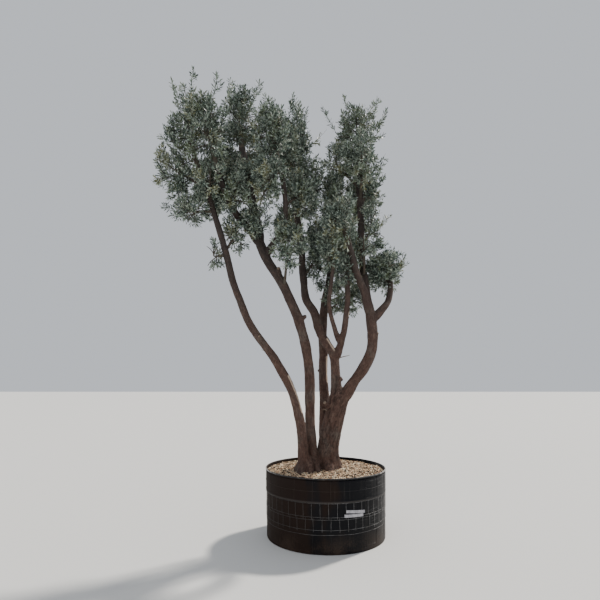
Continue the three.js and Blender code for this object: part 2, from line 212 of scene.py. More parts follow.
def latticeNoise(points, seed):
    # smooth random values from -1 to 1 on a lattice of unit cells
    cell = np.floor(points).astype(np.int64)
    part = points - cell
    ease = part * part * (3 - 2 * part)
    total = np.zeros(len(points))
    for corner in range(8):
        step = np.array([corner & 1, corner >> 1 & 1, corner >> 2])
        x, y, z = (cell + step).T
        mixed = x * 73856093 ^ y * 19349663 ^ z * 83492791 ^ seed * 2654435
        mixed = (mixed ^ mixed >> 13) * 1274126177 & 0x7FFFFFFF
        mixed = mixed ^ mixed >> 15
        weight = np.prod(np.where(step, ease, 1 - ease), axis=1)
        total += weight * ((mixed & 0xFFFF) / 32767.5 - 1)
    return total


def unit(vectors):
    return vectors / np.maximum(np.linalg.norm(vectors, axis=-1, keepdims=True), 1e-9)


def circleOf(count):
    return np.arange(count) * 2 * math.pi / count


class Curve:
    # a centripetal Catmull-Rom curve through waypoints
    def __init__(self, waypoints):
        p = np.array(waypoints, float)
        self.points = np.vstack([2 * p[0] - p[1], p, 2 * p[-1] - p[-2]])
        self.last = len(p) - 1

    def at(self, share):
        place = np.clip(np.atleast_1d(share), 0, 1) * self.last
        start = np.minimum(place.astype(int), self.last - 1)
        w = (place - start)[:, None]
        a, b, c, d = (self.points[start + k] for k in range(4))
        ta, tb, tc = (np.maximum(np.linalg.norm(q - p, axis=1) ** 0.5, 1e-4)[:, None]
                      for p, q in ((a, b), (b, c), (c, d)))
        leave = ((b - a) / ta - (c - a) / (ta + tb) + (c - b) / tb) * tb
        arrive = ((c - b) / tb - (d - b) / (tb + tc) + (d - c) / tc) * tb
        return (b + leave * w + (3 * (c - b) - 2 * leave - arrive) * w**2
                + (2 * (b - c) + leave + arrive) * w**3)

    def heading(self, share):
        share = np.atleast_1d(share)
        return unit(self.at(np.minimum(share + 1e-4, 1)) - self.at(np.maximum(share - 1e-4, 0)))

    def length(self):
        return np.linalg.norm(np.diff(self.at(np.linspace(0, 1, 60)), axis=0), axis=1).sum()


# Each stem or bough follows its waypoints, in millimetres, and tapers evenly from "base" to "tip".
# A mass of foliage leaves its limb at waypoint "from" and fills an ellipsoid of half-sizes "size"
# whose centre lies "out" from there.
soil = 600
limbs = {
    "trunk_right": {
        "base": 91, "tip": 104, "flare": 0.5, "lobes": 5, "forked": True,
        "path": [(32, 50, soil), (24, 25, 800), (62, 10, 990), (106, 0, 1190), (150, -10, 1370)],
        "masses": []},
    "stem_middle": {
        "base": 52, "tip": 48, "flare": 0.5, "lobes": 3,
        "path": [(-130, 0, soil), (-138, -40, 850), (-153, -50, 1200), (-162, -60, 1600), (-208, -70, 1910),
                 (-290, -90, 2160), (-420, -110, 2450), (-585, -130, 2720), (-690, -150, 2960)],
        "masses": [("foliage_middle_low", 6, (47, -370, 330), (200, 200, 300))]},
    "stem_left": {
        "base": 48, "tip": 27, "flare": 0.55, "lobes": 4,
        "path": [(-210, -150, soil), (-240, -165, 1010), (-330, -190, 1380), (-500, -210, 1690),
                 (-720, -240, 1990), (-900, -280, 2380), (-1010, -320, 2780), (-1130, -360, 3190),
                 (-1300, -400, 3670)],
        "masses": [("foliage_left_top", 8, (-140, -30, 385), (205, 230, 485)),
                   ("foliage_left_side", 7.5, (-335, 80, 230), (255, 260, 310)),
                   ("foliage_left_low", 7, (-250, 20, 10), (240, 210, 190)),
                   ("foliage_left_inner", 7.6, (60, 270, 105), (275, 290, 325)),
                   ("foliage_left_fork", 6, (95, 80, 215), (165, 170, 245)),
                   ("foliage_left_tuft", 5.9, (-120, -20, -10), (130, 130, 190)),
                   ("foliage_left_near", 7.3, (38, -188, 135), (200, 180, 230))]},
    "stem_back": {
        "base": 54, "tip": 34, "flare": 0.45, "lobes": 3,
        "path": [(-5, 200, soil), (3, 205, 870), (8, 220, 1280), (-3, 240, 1710), (0, 270, 2040),
                 (25, 310, 2330), (90, 370, 2690), (150, 440, 3060), (165, 480, 3320)],
        "masses": [("foliage_back_top", 8, (-5, 80, 310), (215, 260, 380)),
                   ("foliage_back_right", 6, (210, 130, 360), (195, 230, 290)),
                   ("foliage_back_low", 4.6, (232, -63, 190), (250, 200, 225))]},
    "bough_centre": {
        "base": 53, "tip": 33,
        "path": [(125, 0, 1290), (113, 0, 1500), (98, 20, 1740), (20, 30, 1880), (-53, 50, 2020),
                 (-105, 80, 2200), (-190, 120, 2380), (-216, 180, 2610), (-232, 250, 2890), (-278, 320, 3270),
                 (-338, 400, 3660), (-358, 460, 4070)],
        "masses": [("foliage_centre_top", 11, (65, 40, 370), (225, 260, 475)),
                   ("foliage_centre_side", 9.5, (140, 90, 330), (275, 260, 400)),
                   ("foliage_centre_front", 10, (-110, -300, 420), (215, 250, 350)),
                   ("foliage_centre_back", 9, (-150, 240, 60), (175, 230, 270)),
                   ("foliage_centre_low", 7, (170, 120, 300), (205, 210, 440))]},
    "bough_front_right": {
        "base": 41, "tip": 21,
        "path": [(100, 20, 1700), (148, 0, 1815), (176, -35, 1900), (203, -60, 1990), (227, -110, 2180),
                 (244, -150, 2375), (232, -180, 2590)],
        "masses": [("foliage_front_right", 6, (16, 30, 125), (180, 200, 325))]},
    "bough_front_left": {
        "base": 25, "tip": 18,
        "path": [(172, -25, 1870), (119, -60, 1970), (76, -100, 2120), (48, -160, 2280), (60, -240, 2450),
                 (77, -320, 2610)],
        "masses": [("foliage_front_left", 5, (-17, -30, 190), (150, 190, 265))]},
    "bough_right": {
        "base": 52, "tip": 54, "forked": True,
        "path": [(178, -15, 1285), (302, -40, 1482), (406, -60, 1621), (478, -80, 1774), (494, -90, 1946),
                 (480, -100, 2111), (472, -100, 2235)],
        "masses": []},
    "bough_right_top": {
        "base": 42, "tip": 35,
        "path": [(470, -95, 2180), (445, -30, 2440), (422, 40, 2726), (421, 100, 3081), (431, 160, 3510),
                 (408, 220, 3960)],
        "masses": [("foliage_right_top", 5, (10, 70, 460), (325, 280, 405)),
                   ("foliage_right_front", 4, (-30, -390, 340), (205, 240, 330)),
                   ("foliage_right_side", 3.8, (110, 50, 260), (190, 240, 300)),
                   ("foliage_right_back", 4, (40, 430, 200), (215, 240, 320)),
                   ("foliage_right_link", 4.3, (-265, -80, 260), (190, 220, 265)),
                   ("foliage_right_middle", 2.6, (105, -10, 200), (210, 240, 310)),
                   ("foliage_right_near", 1.5, (-29, -236, 261), (130, 130, 170))]},
    "bough_right_front": {
        "base": 42, "tip": 26,
        "path": [(470, -110, 2170), (412, -160, 2396), (328, -220, 2582), (272, -300, 2751),
                 (218, -390, 2900)],
        "masses": [("foliage_right_hanging", 4, (-73, -90, 175), (200, 240, 340))]},
    "bough_right_low": {
        "base": 38, "tip": 28,
        "path": [(486, -95, 2100), (590, -60, 2212), (678, 0, 2320), (720, 60, 2466), (720, 90, 2570)],
        "masses": [("foliage_right_low", 4, (-50, -5, 95), (290, 260, 250))]},
    "bough_left_back": {
        "base": 46, "tip": 35,
        "path": [(-680, -150, 2920), (-739, -80, 3261), (-806, 0, 3541), (-861, 100, 3866),
                 (-927, 180, 4147)],
        "masses": [("foliage_left_back_top", 4, (-55, 110, 420), (285, 300, 430)),
                   ("foliage_left_back", 3.2, (-275, 370, 110), (255, 265, 330)),
                   ("foliage_back", 2.8, (-20, 300, 110), (240, 270, 345)),
                   ("foliage_middle_inner", 1.6, (-28, -290, 175), (150, 170, 220))]},
    "bough_left_front": {
        "base": 39, "tip": 26,
        "path": [(-670, -150, 2900), (-796, -220, 3060), (-911, -320, 3188), (-1023, -420, 3395),
                 (-1096, -500, 3626)],
        "masses": [("foliage_left_front", 4, (-84, -66, 350), (250, 285, 410)),
                   ("foliage_left_middle", 2, (8, -160, 151), (190, 190, 235)),
                   ("foliage_middle_fork", 0.9, (30, -95, 70), (200, 165, 200))]},
    "bough_middle_front": {
        "base": 31, "tip": 22,
        "path": [(-610, -140, 2790), (-525, -200, 2905), (-439, -300, 2993), (-402, -380, 3199),
                 (-427, -420, 3449), (-488, -460, 3752)],
        "masses": [("foliage_middle_top", 5, (-60, -40, 240), (205, 250, 370)),
                   ("foliage_middle_front", 4, (-130, -100, 10), (195, 225, 290)),
                   ("foliage_middle_right", 3.2, (174, 88, 165), (190, 200, 260))]},
}
mm = 0.001
soilLevel = soil * mm


def barkRadius(limb, along, height, angle):
    radius = limb["base"] + (limb["tip"] - limb["base"]) * along
    if limb.get("forked"):  # narrower over its last tenth, where others take over
        radius = radius * (1 - 0.28 * np.clip((along - 0.9) / 0.1, 0, 1) ** 2)
    if "flare" in limb:  # wider towards the ground, in lobes
        fade = np.exp(-(height - soilLevel) / 0.11)
        radius = radius * (1 + limb["flare"] * fade * (1 + 0.35 * np.cos(limb["lobes"] * angle)))
    return radius * mm


for limb in limbs.values():
    limb["curve"] = Curve(np.array(limb["path"], float) * mm)


def crossFrames(headings, whole):
    # two directions across each heading, turned as little as possible along the bar; whole is its main run
    reference = np.where(np.abs(whole[..., :1]) > 0.8, [0.0, 1.0, 0.0], [1.0, 0.0, 0.0])
    if headings.ndim > whole.ndim:
        reference = reference[..., None, :]
    side = unit(reference - headings * (reference * headings).sum(-1, keepdims=True))
    return side, np.cross(side, headings)


def barFaces(rings, sides):
    # the walls of a bar, whose points go round it ring by ring
    around = np.arange(sides)
    following = (around + 1) % sides
    rows = np.arange(rings - 1)[:, None] * sides
    return np.stack([rows + around, rows + following, rows + sides + following, rows + sides + around],
                    -1).reshape(-1, 4)


# Bark: all limbs are melted together, and then get lumps, ridges and fissures in the mesh itself.
bark = {
    "voxel": 0.0092,
    "ring": 0.018,  # distance between rings before melting
    "girth": 0.06,  # how unevenly thick, as a share
    "bend": 0.008,
    "smoothing": (0.5, -0.52) * 4,
    "thickness": 0.0022,  # makes up for what the smoothing takes
    "lumps": (0.11, 0.0052),  # size and depth
    "plates": (0.021, 0.070, 0.0033),  # width, length and depth on the thick trunk
    "flakes": (0.011, 0.03, 0.0017),
    "cleft": [(0.124, -0.048, 1.53), (0.114, -0.052, 1.46), (0.102, -0.064, 1.38), (0.090, -0.088, 1.29)],
    "cleftWidth": 0.014,
    "cleftDepth": 0.016,
    "worn": [  # painted highlight: pale strips on the bark where sunlight would catch the limbs' edges, each a line and its width
        ([(-0.368, -0.223, 1.535), (-0.350, -0.220, 1.50), (-0.285, -0.209, 1.36), (-0.251, -0.199, 1.26),
          (-0.232, -0.192, 1.19)], 0.014),
        ([(-0.108, -0.060, 1.42), (-0.105, -0.056, 1.20), (-0.096, -0.054, 1.00)], 0.009),
        ([(0.030, 0.001, 1.92), (0.076, -0.010, 1.84), (0.126, -0.013, 1.76)], 0.012),
        ([(0.037, 0.219, 1.74), (0.040, 0.210, 1.60), (0.045, 0.204, 1.48)], 0.014),
        ([(0.108, 0.072, 0.79), (0.134, 0.112, 0.725), (0.160, 0.150, 0.675)], 0.014),
        ([(0.250, -0.120, 2.20), (0.262, -0.140, 2.05), (0.235, -0.100, 1.95)], 0.012),
    ],
    "knobs": [((-0.224, -0.122, 2.15), 0.026, 0.016), ((0.168, -0.04, 1.505), 0.03, 0.007),
              ((0.02, -0.09, 1.23), 0.03, 0.014), ((-0.20, -0.12, 1.10), 0.02, 0.009),
              ((-0.245, -0.21, 0.86), 0.024, 0.010), ((0.30, -0.12, 1.60), 0.03, 0.012),
              ((0.46, -0.165, 1.83), 0.028, 0.012), ((-0.60, -0.28, 1.86), 0.022, 0.010)],
    "stubs": [  # cut side shoots: foot, tip, radius
        ((-0.470, -0.130, 2.600), (-0.478, -0.190, 2.640), 0.021),
        ((0.030, -0.060, 1.235), (-0.008, -0.125, 1.275), 0.019),
        ((0.130, -0.010, 1.485), (0.176, -0.030, 1.512), 0.020),
        ((-0.240, -0.080, 2.100), (-0.196, -0.120, 2.150), 0.014),
        ((-0.640, -0.230, 1.880), (-0.660, -0.290, 1.930), 0.013),
        ((0.480, -0.090, 1.930), (0.545, -0.120, 1.975), 0.016),
        ((-0.010, 0.235, 1.560), (-0.050, 0.300, 1.600), 0.015),
        ((-0.160, -0.050, 1.320), (-0.130, 0.020, 1.360), 0.014),
    ],
    "deadTwigs": [  # bare and pale: foot, tip, radius
        ((0.120, 0.000, 1.715), (0.264, -0.030, 1.753), 0.0055),
        ((0.030, -0.030, 1.190), (-0.022, -0.055, 1.206), 0.0075),
        ((-0.560, -0.220, 1.760), (-0.640, -0.240, 1.800), 0.004),
    ],
    "roots": [  # swellings at the foot: waypoints, and the radius at each
        ([(-0.215, -0.150, 0.76), (-0.245, -0.205, 0.650), (-0.262, -0.262, 0.575)], (0.036, 0.042, 0.030)),
        ([(-0.185, -0.120, 0.74), (-0.165, -0.185, 0.645), (-0.150, -0.245, 0.575)], (0.040, 0.044, 0.032)),
        ([(-0.130, -0.030, 0.76), (-0.095, -0.105, 0.645), (-0.075, -0.165, 0.575)], (0.042, 0.044, 0.032)),
        ([(0.010, 0.020, 0.78), (0.030, -0.060, 0.650), (0.042, -0.120, 0.575)], (0.060, 0.055, 0.040)),
        ([(0.050, 0.050, 0.78), (0.108, 0.035, 0.665), (0.160, 0.020, 0.575)], (0.050, 0.042, 0.034)),
        ([(0.045, 0.070, 0.80), (0.105, 0.135, 0.700), (0.185, 0.225, 0.585)], (0.040, 0.036, 0.030)),
        ([(-0.010, 0.200, 0.76), (-0.035, 0.255, 0.650), (-0.050, 0.295, 0.575)], (0.042, 0.042, 0.028)),
        ([(-0.210, -0.140, 0.74), (-0.270, -0.140, 0.645), (-0.305, -0.130, 0.575)], (0.038, 0.040, 0.026)),
        ([(-0.135, 0.000, 0.72), (-0.060, 0.010, 0.640), (0.010, 0.030, 0.600)], (0.048, 0.056, 0.060)),
        ([(-0.190, -0.110, 0.72), (-0.165, -0.070, 0.640), (-0.135, -0.030, 0.600)], (0.046, 0.052, 0.050)),
    ],
}


def closedBar(centres, headings, radii):
    # rings of points with a cap at each end; radii is (rings, sides)
    sides = radii.shape[1]
    side, front = crossFrames(headings, unit(centres[-1] - centres[0]))
    turn = circleOf(sides)[:, None]
    spokes = side[:, None] * np.cos(turn) + front[:, None] * np.sin(turn)
    rings = centres[:, None] + radii[..., None] * spokes
    points = np.vstack([rings.reshape(-1, 3), centres[:1], centres[-1:]])
    around = np.arange(sides)
    following = (around + 1) % sides
    low, high = len(points) - 2, len(points) - 1
    last = (len(centres) - 1) * sides
    caps = np.concatenate([np.stack([following, around, np.full(sides, low)], -1),
                           np.stack([last + around, last + following, np.full(sides, high)], -1)])
    return points, [barFaces(len(centres), sides), caps]


def straightBar(centres, widths, sides):
    headings = np.repeat(unit(centres[-1:] - centres[:1]), len(centres), 0)
    return closedBar(centres, headings, np.outer(widths, np.ones(sides)))


def uneven(travelled, seed):
    # a slow random swing along a limb, from -1 to 1
    zero = np.zeros(len(travelled))
    return latticeNoise(np.stack([travelled, zero + seed, zero], -1), 17)


def limbBar(limb):
    curve = limb["curve"]
    along = np.linspace(0, 1, max(int(curve.length() / bark["ring"]), 8))
    centres, headings = curve.at(along), curve.heading(along)
    travelled = along * curve.length()
    seed = limb["base"] * 1.7
    girth = 1 + bark["girth"] * (uneven(travelled / 0.17, seed) + 0.6 * uneven(travelled / 0.07, seed + 9))
    if "flare" in limb:
        headings[0] = (0, 0, 1)
        centres[0] -= (0, 0, 0.012)
    else:
        girth += 0.22 * np.exp(-((travelled - 0.09) / 0.07) ** 2)  # thicker where it leaves its parent
    sides = 30 if limb["base"] > 60 else 20
    radii = barkRadius(limb, along[:, None], centres[:, 2:], circleOf(sides))
    radii = radii * girth[:, None] * np.ones(sides)
    swing = [uneven(travelled / 0.22, seed + 20), uneven(travelled / 0.22, seed + 40), 0 * travelled]
    bend = np.minimum(1, travelled / 0.15)[:, None] * bark["bend"]
    return closedBar(centres + bend * np.stack(swing, -1), headings, radii)


def roughLimbs():
    bars = [limbBar(limb) for limb in limbs.values()]
    for foot, tip, radius in bark["stubs"]:
        bars.append(straightBar(np.linspace(foot, tip, 5), radius * np.array([1.25, 1.1, 1, 0.98, 0.95]), 10))
    for waypoints, widths in bark["roots"]:
        curve = Curve(waypoints)
        along = np.linspace(0, 1, 12)
        radii = np.interp(along, (0, 0.5, 1), widths)
        bars.append(closedBar(curve.at(along), curve.heading(along), np.outer(radii, np.ones(14))))
    return joined(bars)


def readArray(items, name, width, kind):
    values = np.empty(len(items) * width, kind)
    items.foreach_get(name, values)
    return values.reshape(-1, width)


def meltTogether(points, faceSets):
    mesh = meshFrom("melt", points, faceSets)
    body = bpy.data.objects.new("melt", mesh)
    bpy.context.scene.collection.objects.link(body)
    remesh = body.modifiers.new("melt", "REMESH")
    remesh.mode = "VOXEL"
    remesh.voxel_size = bark["voxel"]
    melted = bpy.data.meshes.new_from_object(body.evaluated_get(bpy.context.evaluated_depsgraph_get()))
    bpy.data.objects.remove(body)
    bpy.data.meshes.remove(mesh)
    points = readArray(melted.vertices, "co", 3, np.float32).astype(float)
    quads = readArray(melted.loops, "vertex_index", 1, np.int32).reshape(-1, 4)
    ends = readArray(melted.edges, "vertices", 2, np.int32)
    bpy.data.meshes.remove(melted)
    return points, quads, ends


def relax(points, ends):
    # each smoothing step is followed by a slight swelling, so that thin limbs keep their girth
    degree = np.bincount(ends.ravel(), minlength=len(points))[:, None]
    for pull in bark["smoothing"]:
        total = np.stack([np.bincount(ends[:, 0], points[ends[:, 1], axis], len(points))
                          + np.bincount(ends[:, 1], points[ends[:, 0], axis], len(points))
                          for axis in range(3)], -1)
        points = points + pull * (total / degree - points)
    return points


def quadNormals(points, quads):
    across = np.cross(points[quads[:, 2]] - points[quads[:, 0]], points[quads[:, 3]] - points[quads[:, 1]])
    total = np.zeros_like(points)
    for corner in range(4):
        for axis in range(3):
            total[:, axis] += np.bincount(quads[:, corner], across[:, axis], len(points))
    return unit(total)


def limbSamples(step):
    rows = []
    for index, limb in enumerate(limbs.values()):
        curve = limb["curve"]
        along = np.linspace(0, 1, int(curve.length() / step) + 2)
        centres, headings = curve.at(along), curve.heading(along)
        side, front = crossFrames(headings, unit(centres[-1] - centres[0]))
        travelled = along * curve.length() + index * 3.7  # each limb has bark of its own
        rows.append((centres, headings, side, front, barkRadius(limb, along, centres[:, 2], 0), travelled))
    return [np.concatenate(column) for column in zip(*rows)]


def unbent(points):
    # where each point lies across and along its limb, as if every limb were straight
    centres, headings, side, front, radii, travelled = limbSamples(0.02)
    finder = kdtree.KDTree(len(centres))
    for index, centre in enumerate(centres):
        finder.insert(centre, index)
    finder.balance()
    nearest = np.empty(len(points), np.int64)
    for index, point in enumerate(points):
        nearest[index] = min(finder.find_n(point, 5), key=lambda found: found[2] / radii[found[1]])[1]
    offset = points - centres[nearest]
    ahead, across, deep = ((offset * array[nearest]).sum(-1) for array in (headings, side, front))
    return np.stack([across, deep, travelled[nearest] + ahead], -1), radii[nearest]


def distanceToLine(points, line):
    best = np.full(len(points), 9.0)
    for a, b in zip(line[:-1], line[1:]):
        a, b = np.array(a), np.array(b)
        share = np.clip(((points - a) @ (b - a)) / ((b - a) @ (b - a)), 0, 1)
        best = np.minimum(best, np.linalg.norm(points - a - share[:, None] * (b - a), axis=1))
    return best


def growBark():
    points, quads, ends = meltTogether(*roughLimbs())
    points = relax(points, ends)
    normals = quadNormals(points, quads)
    grain, radius = unbent(points)
    thick = np.clip(radius / 0.1, 0.12, 1) ** 0.8
    size, depth = bark["lumps"]
    push = bark["thickness"] + depth * thick * latticeNoise(grain / (size, size, size * 1.6), 3)
    width, length, depth = bark["plates"]
    plate = np.array([width, width, length])
    ridge = latticeNoise(grain / plate, 5) + 0.5 * latticeNoise(grain / (plate / 2), 6)
    fissure = -np.clip(np.abs(ridge) * -3.2 + 1, 0, 1)
    push += depth * thick * (0.35 * ridge + fissure)
    width, length, depth = bark["flakes"]
    push += depth * thick * latticeNoise(grain / (width, width, length), 8)
    cleft = np.exp(-(distanceToLine(points, bark["cleft"]) / bark["cleftWidth"]) ** 2)
    push -= bark["cleftDepth"] * cleft
    for place, reach, height in bark["knobs"]:
        push += height * np.exp(-(np.linalg.norm(points - place, axis=1) / reach) ** 2)
    points = points + normals * push[:, None]
    # painted highlight: pale strips near the given lines
    worn = sum(np.exp(-(distanceToLine(points, line) / width) ** 2) for line, width in bark["worn"])
    points[:, 2] = np.maximum(points[:, 2], soilLevel - 0.012)
    # crevice is painted shade, darkest in the fissures and the cleft
    marks = {"grain": grain, "crevice": np.clip(-fissure * thick * 1.1 + cleft, 0, 1),
             "worn": np.clip(1.7 * worn, 0, 1)}
    return meshFrom("bark", points, [quads], True, marks=marks)


def barkMaterial(name, old, youngShadedTone):
    shader = Shader(name, {"Roughness": 0.88, "Specular IOR Level": 0.25})
    grain = shader.mark("grain", "Vector")
    crevice, worn = shader.mark("crevice"), shader.mark("worn")
    patches = shader.noise(shader.place(), 6, 4)
    mottles = shader.noise(grain, (24, 24, 13), 4, 0.6)
    streaks = shader.noise(grain, (80, 80, 26), 5, 0.65)
    flecks = shader.noise(grain, (260, 260, 90), 3, 0.6)
    cracks = shader.cells(grain, (62, 62, 24))
    stemsBelowShadedBoughs = shader.rise(shader.part(shader.place(), 2), 2.9, 1.5)  # the stems, below the boughs: the upper tone is painted shade on the boughs in the crown, as well as their younger bark
    tone = shader.blend(stemsBelowShadedBoughs, youngShadedTone, old)
    marksBelowShade = 0.35 + 0.65 * stemsBelowShadedBoughs  # the mottling is fainter on the boughs, part of the painted shade there
    for share, colour in (
            (0.7 * marksBelowShade * shader.rise(patches, 0.45, 0.7), (0.125, 0.104, 0.088)),
            (0.7 * marksBelowShade * shader.rise(mottles, 0.5, 0.68), (0.155, 0.098, 0.076)),
            (0.6 * shader.rise(mottles, 0.46, 0.3), (0.052, 0.030, 0.024)),
            (0.42 * shader.rise(streaks, 0.5, 0.3), (0.032, 0.022, 0.017)),
            (0.55 * marksBelowShade * shader.rise(flecks, 0.54, 0.72), (0.2, 0.155, 0.125)),
            (0.4 * shader.rise(cracks, 0.05, 0.0), (0.022, 0.015, 0.011)),
            # pale strips of painted highlight, broken up by the streaks
            (0.85 * shader.rise(worn + 0.8 * streaks, 0.75, 1.15), (0.56, 0.44, 0.34)),
            # painted shade in the fissures and the cleft
            (0.6 * crevice, (0.014, 0.009, 0.007))):
        tone = shader.blend(share, tone, colour)
    shader.look("Base Color", tone)
    shader.relief(streaks + 0.4 * mottles + 0.5 * flecks + 0.7 * shader.rise(cracks, 0, 0.12), 0.7, 0.005)
    return shader.material


def cutWoodMaterial():
    shader = Shader("cut_wood", {"Roughness": 0.8})
    rings = shader.noise(shader.place(), 180, 2)
    shader.look("Base Color", shader.ramp(rings, [(0.35, (0.11, 0.075, 0.052)), (0.7, (0.24, 0.18, 0.13))]))
    shader.relief(rings, 0.4, 0.002)
    return shader.material


def cutFaces():
    # pale wood at the end of each stub, and the bare twigs
    bars = []
    for foot, tip, radius in bark["stubs"]:
        centres = tip + np.array([[-0.012], [0.002], [0.0045]]) * unit(np.array(tip) - foot)
        bars.append(straightBar(centres, radius * np.array([0.84, 0.8, 0.5]), 14))
    for foot, tip, radius in bark["deadTwigs"]:
        centres = np.linspace(foot, tip, 6)
        centres[2:4, 2] += 0.3 * radius
        bars.append(straightBar(centres, radius * np.array([1.3, 1, 0.95, 0.8, 0.6, 0.3]), 8))
    return meshFrom("cut_faces", *joined(bars))


# the second tone darkens the upper boughs: painted shade in the crown, and younger bark
barkSkin = barkMaterial("bark", (0.094, 0.052, 0.040), (0.048, 0.039, 0.036))
show("bark", growBark(), [barkSkin], "bark", *limbs)
show("cut_faces", cutFaces(), [cutWoodMaterial()], "bark")
print("bark done")

# Foliage: the spaces, stems, twigs and sprays follow the rule of the solids, and go on to finer twigs.
foliage = {
    "twigsPerSquareMetre": 95,
    "twigReach": (0.84, 0.7, 0.56, 0.42),
    "bushy": {"perSquareMetre": 610, "lengths": (0.3, 0.25, 0.2, 0.16, 0.12), "lift": (0.1, 0.4),
              "scatter": 1.7, "outwards": 0.8, "spacing": 0.0175},
    "leaders": {"perSquareMetre": 270, "lengths": (0.5, 0.42, 0.34, 0.26, 0.19), "lift": (0.2, 0.5),
                "scatter": 0.8, "outwards": 0.4, "spacing": 0.0185},
    "past": 1.1,  # how far out of its space a leader's tip may grow
    "fullness": {  # reach and number of sprays, as a share: low where sky shows through, high at the back
        "right_top": 0.85, "right_link": 0.9, "right_side": 0.86, "right_middle": 0.86, "centre_low": 0.96,
        "centre_top": 0.87, "centre_side": 0.95, "left_top": 0.84, "left_side": 0.88, "left_front": 0.88,
        "left_back_top": 0.92, "left_low": 0.94, "left_tuft": 0.92, "centre_back": 1.15, "left_back": 1.1,
        "back": 1.12, "right_back": 1.12, "back_top": 1.08, "back_right": 1.15, "back_low": 1.12,
        "middle_inner": 1.1, "left_inner": 1.1, "middle_low": 1.08, "middle_right": 1.08, "front_left": 1.1,
        "front_right": 1.08, "centre_front": 1.05},
    "overBox": 0.021,  # how far past the solids' box, as a share of its side
    "trials": 6,
    "leafLength": 0.053,
    "leafWidth": 0.0148,
    "sprayRadii": (0.0026, 0.0021, 0.0016, 0.0009),
    "sideRadii": (0.0013, 0.0007),
    "toneShares": (0.4, 0.28, 0.2, 0.12),  # of the first four leaf tones
    "ragged": (0.82, 0.26),  # how far out the sprays end on the crown's outside, and how unevenly
    "outermost": 1.05,  # how far out a bushy spray may reach at all
    "sideLimit": 1.08,  # how far out the side shoots of a spray may reach
    "nodeSpacing": 0.05,  # between the pairs of side shoots
    "bareShare": (0.3, 0.8),  # share of side shoots left out, on bushy sprays and on slim ones
    "leafTilt": (58, -26, 11),  # degrees off the shoot: at its foot, the change to its tip, the scatter
    "leafTurn": 0.28,  # how unevenly the pairs turn
    "leafStand": (0.0016, 0.0009),  # from the axis of a spray, and of a side shoot, to its leaves
    "lostShare": 0.07,  # share of leaves left out
    "whips": {  # long shoots that stand out of the crown: foot and tip
        "left_top": [((-1.48, -0.43, 4.20), (-1.60, -0.43, 4.56)),
                     ((-1.40, -0.40, 4.45), (-1.38, -0.44, 4.70))],
        "left_back_top": [((-0.82, 0.25, 4.74), (-0.74, 0.25, 5.03)),
                          ((-0.95, 0.30, 4.74), (-0.92, 0.32, 5.01))],
        "left_front": [((-1.14, -0.56, 4.29), (-1.10, -0.56, 4.54)),
                       ((-1.02, -0.50, 4.27), (-0.94, -0.52, 4.50))],
        "centre_top": [((-0.40, 0.45, 4.66), (-0.34, 0.45, 4.96)),
                       ((-0.12, 0.40, 4.29), (0.07, 0.40, 4.47))],
        "right_top": [((0.33, 0.25, 4.46), (0.28, 0.25, 4.80)), ((0.17, 0.20, 4.34), (0.01, 0.20, 4.63)),
                      ((0.58, 0.20, 4.42), (0.66, 0.20, 4.74)), ((0.62, 0.15, 4.28), (0.76, 0.15, 4.58))],
        "left_side": [((-1.56, -0.30, 3.83), (-1.72, -0.30, 4.05)),
                      ((-1.62, -0.25, 3.65), (-1.78, -0.25, 3.85))],
        "left_low": [((-1.48, -0.35, 3.17), (-1.65, -0.35, 3.26))],
        "right_side": [((0.57, 0.15, 3.83), (0.73, 0.15, 4.04)),
                       ((0.54, 0.15, 3.60), (0.71, 0.15, 3.74))],
        "right_middle": [((0.57, 0.06, 3.07), (0.71, 0.06, 3.25))],
        "middle_top": [((-0.58, -0.46, 4.05), (-0.62, -0.50, 4.36))],
        "back_top": [((0.12, 0.60, 3.90), (0.20, 0.66, 4.22))],
    },
    "whipLift": 0.1,
    "whipSpacing": 0.0135,
    "groups": {  # masses that make one piece together
        "left": ["left_top", "left_side", "left_low", "left_inner", "left_fork", "left_tuft", "left_front",
                 "left_near"],
        "middle": ["left_back_top", "left_back", "back", "middle_inner", "left_middle", "middle_fork"],
        "front": ["middle_top", "middle_front", "middle_low", "middle_right", "centre_front", "front_left",
                  "front_right", "right_hanging"],
        "centre": ["centre_top", "centre_side", "centre_back", "centre_low", "back_top", "back_right",
                   "back_low"],
        "right": ["right_top", "right_front", "right_side", "right_back", "right_link", "right_middle",
                  "right_near", "right_low"],
    },
}
goldenAngle = math.pi * (3 - math.sqrt(5))
farOut = 9  # more than any distance that howFarOut finds near a mass


def findSpaces():
    spaces = []
    for limb in limbs.values():
        last = len(limb["path"]) - 1
        for name, start, out, size in limb["masses"]:
            along = start / last
            root = limb["curve"].at(along)[0]
            centre = root + np.array(out) * mm
            size = np.array(size) * mm
            radius = float(barkRadius(limb, along, root[2], 0))
            atTip = start == last
            heading = limb["curve"].heading(1)[0] if atTip else unit(centre - root)
            if atTip:
                root = root - 0.6 * radius * heading
            bend = (root + centre) / 2 + heading * 0.12 * size[2]
            fullness = foliage["fullness"].get(name[len("foliage_"):], 1)
            spaces.append({
                "name": name, "centre": centre, "size": size, "atTip": atTip, "limbRadius": radius,
                "stemRadius": min(0.55 * radius, 0.016), "seed": 101 + 37 * len(spaces),
                "section": (size @ np.roll(size, 1)) / 3, "fullness": fullness,
                "past": foliage["past"] * (1 + fullness) / 2,
                "stem": Curve([root, bend, centre, centre + (0, 0, 0.72 * size[2])])})
    return spaces


spaces = findSpaces()
spaceCentres = np.array([space["centre"] for space in spaces])
spaceSizes = np.array([space["size"] for space in spaces])
limbCentres, _, _, _, limbRadii, _ = limbSamples(0.03)
boxLow, boxHigh = (np.array(corner) for corner in cadBox)
boxSpare = (boxHigh - boxLow) * foliage["overBox"]


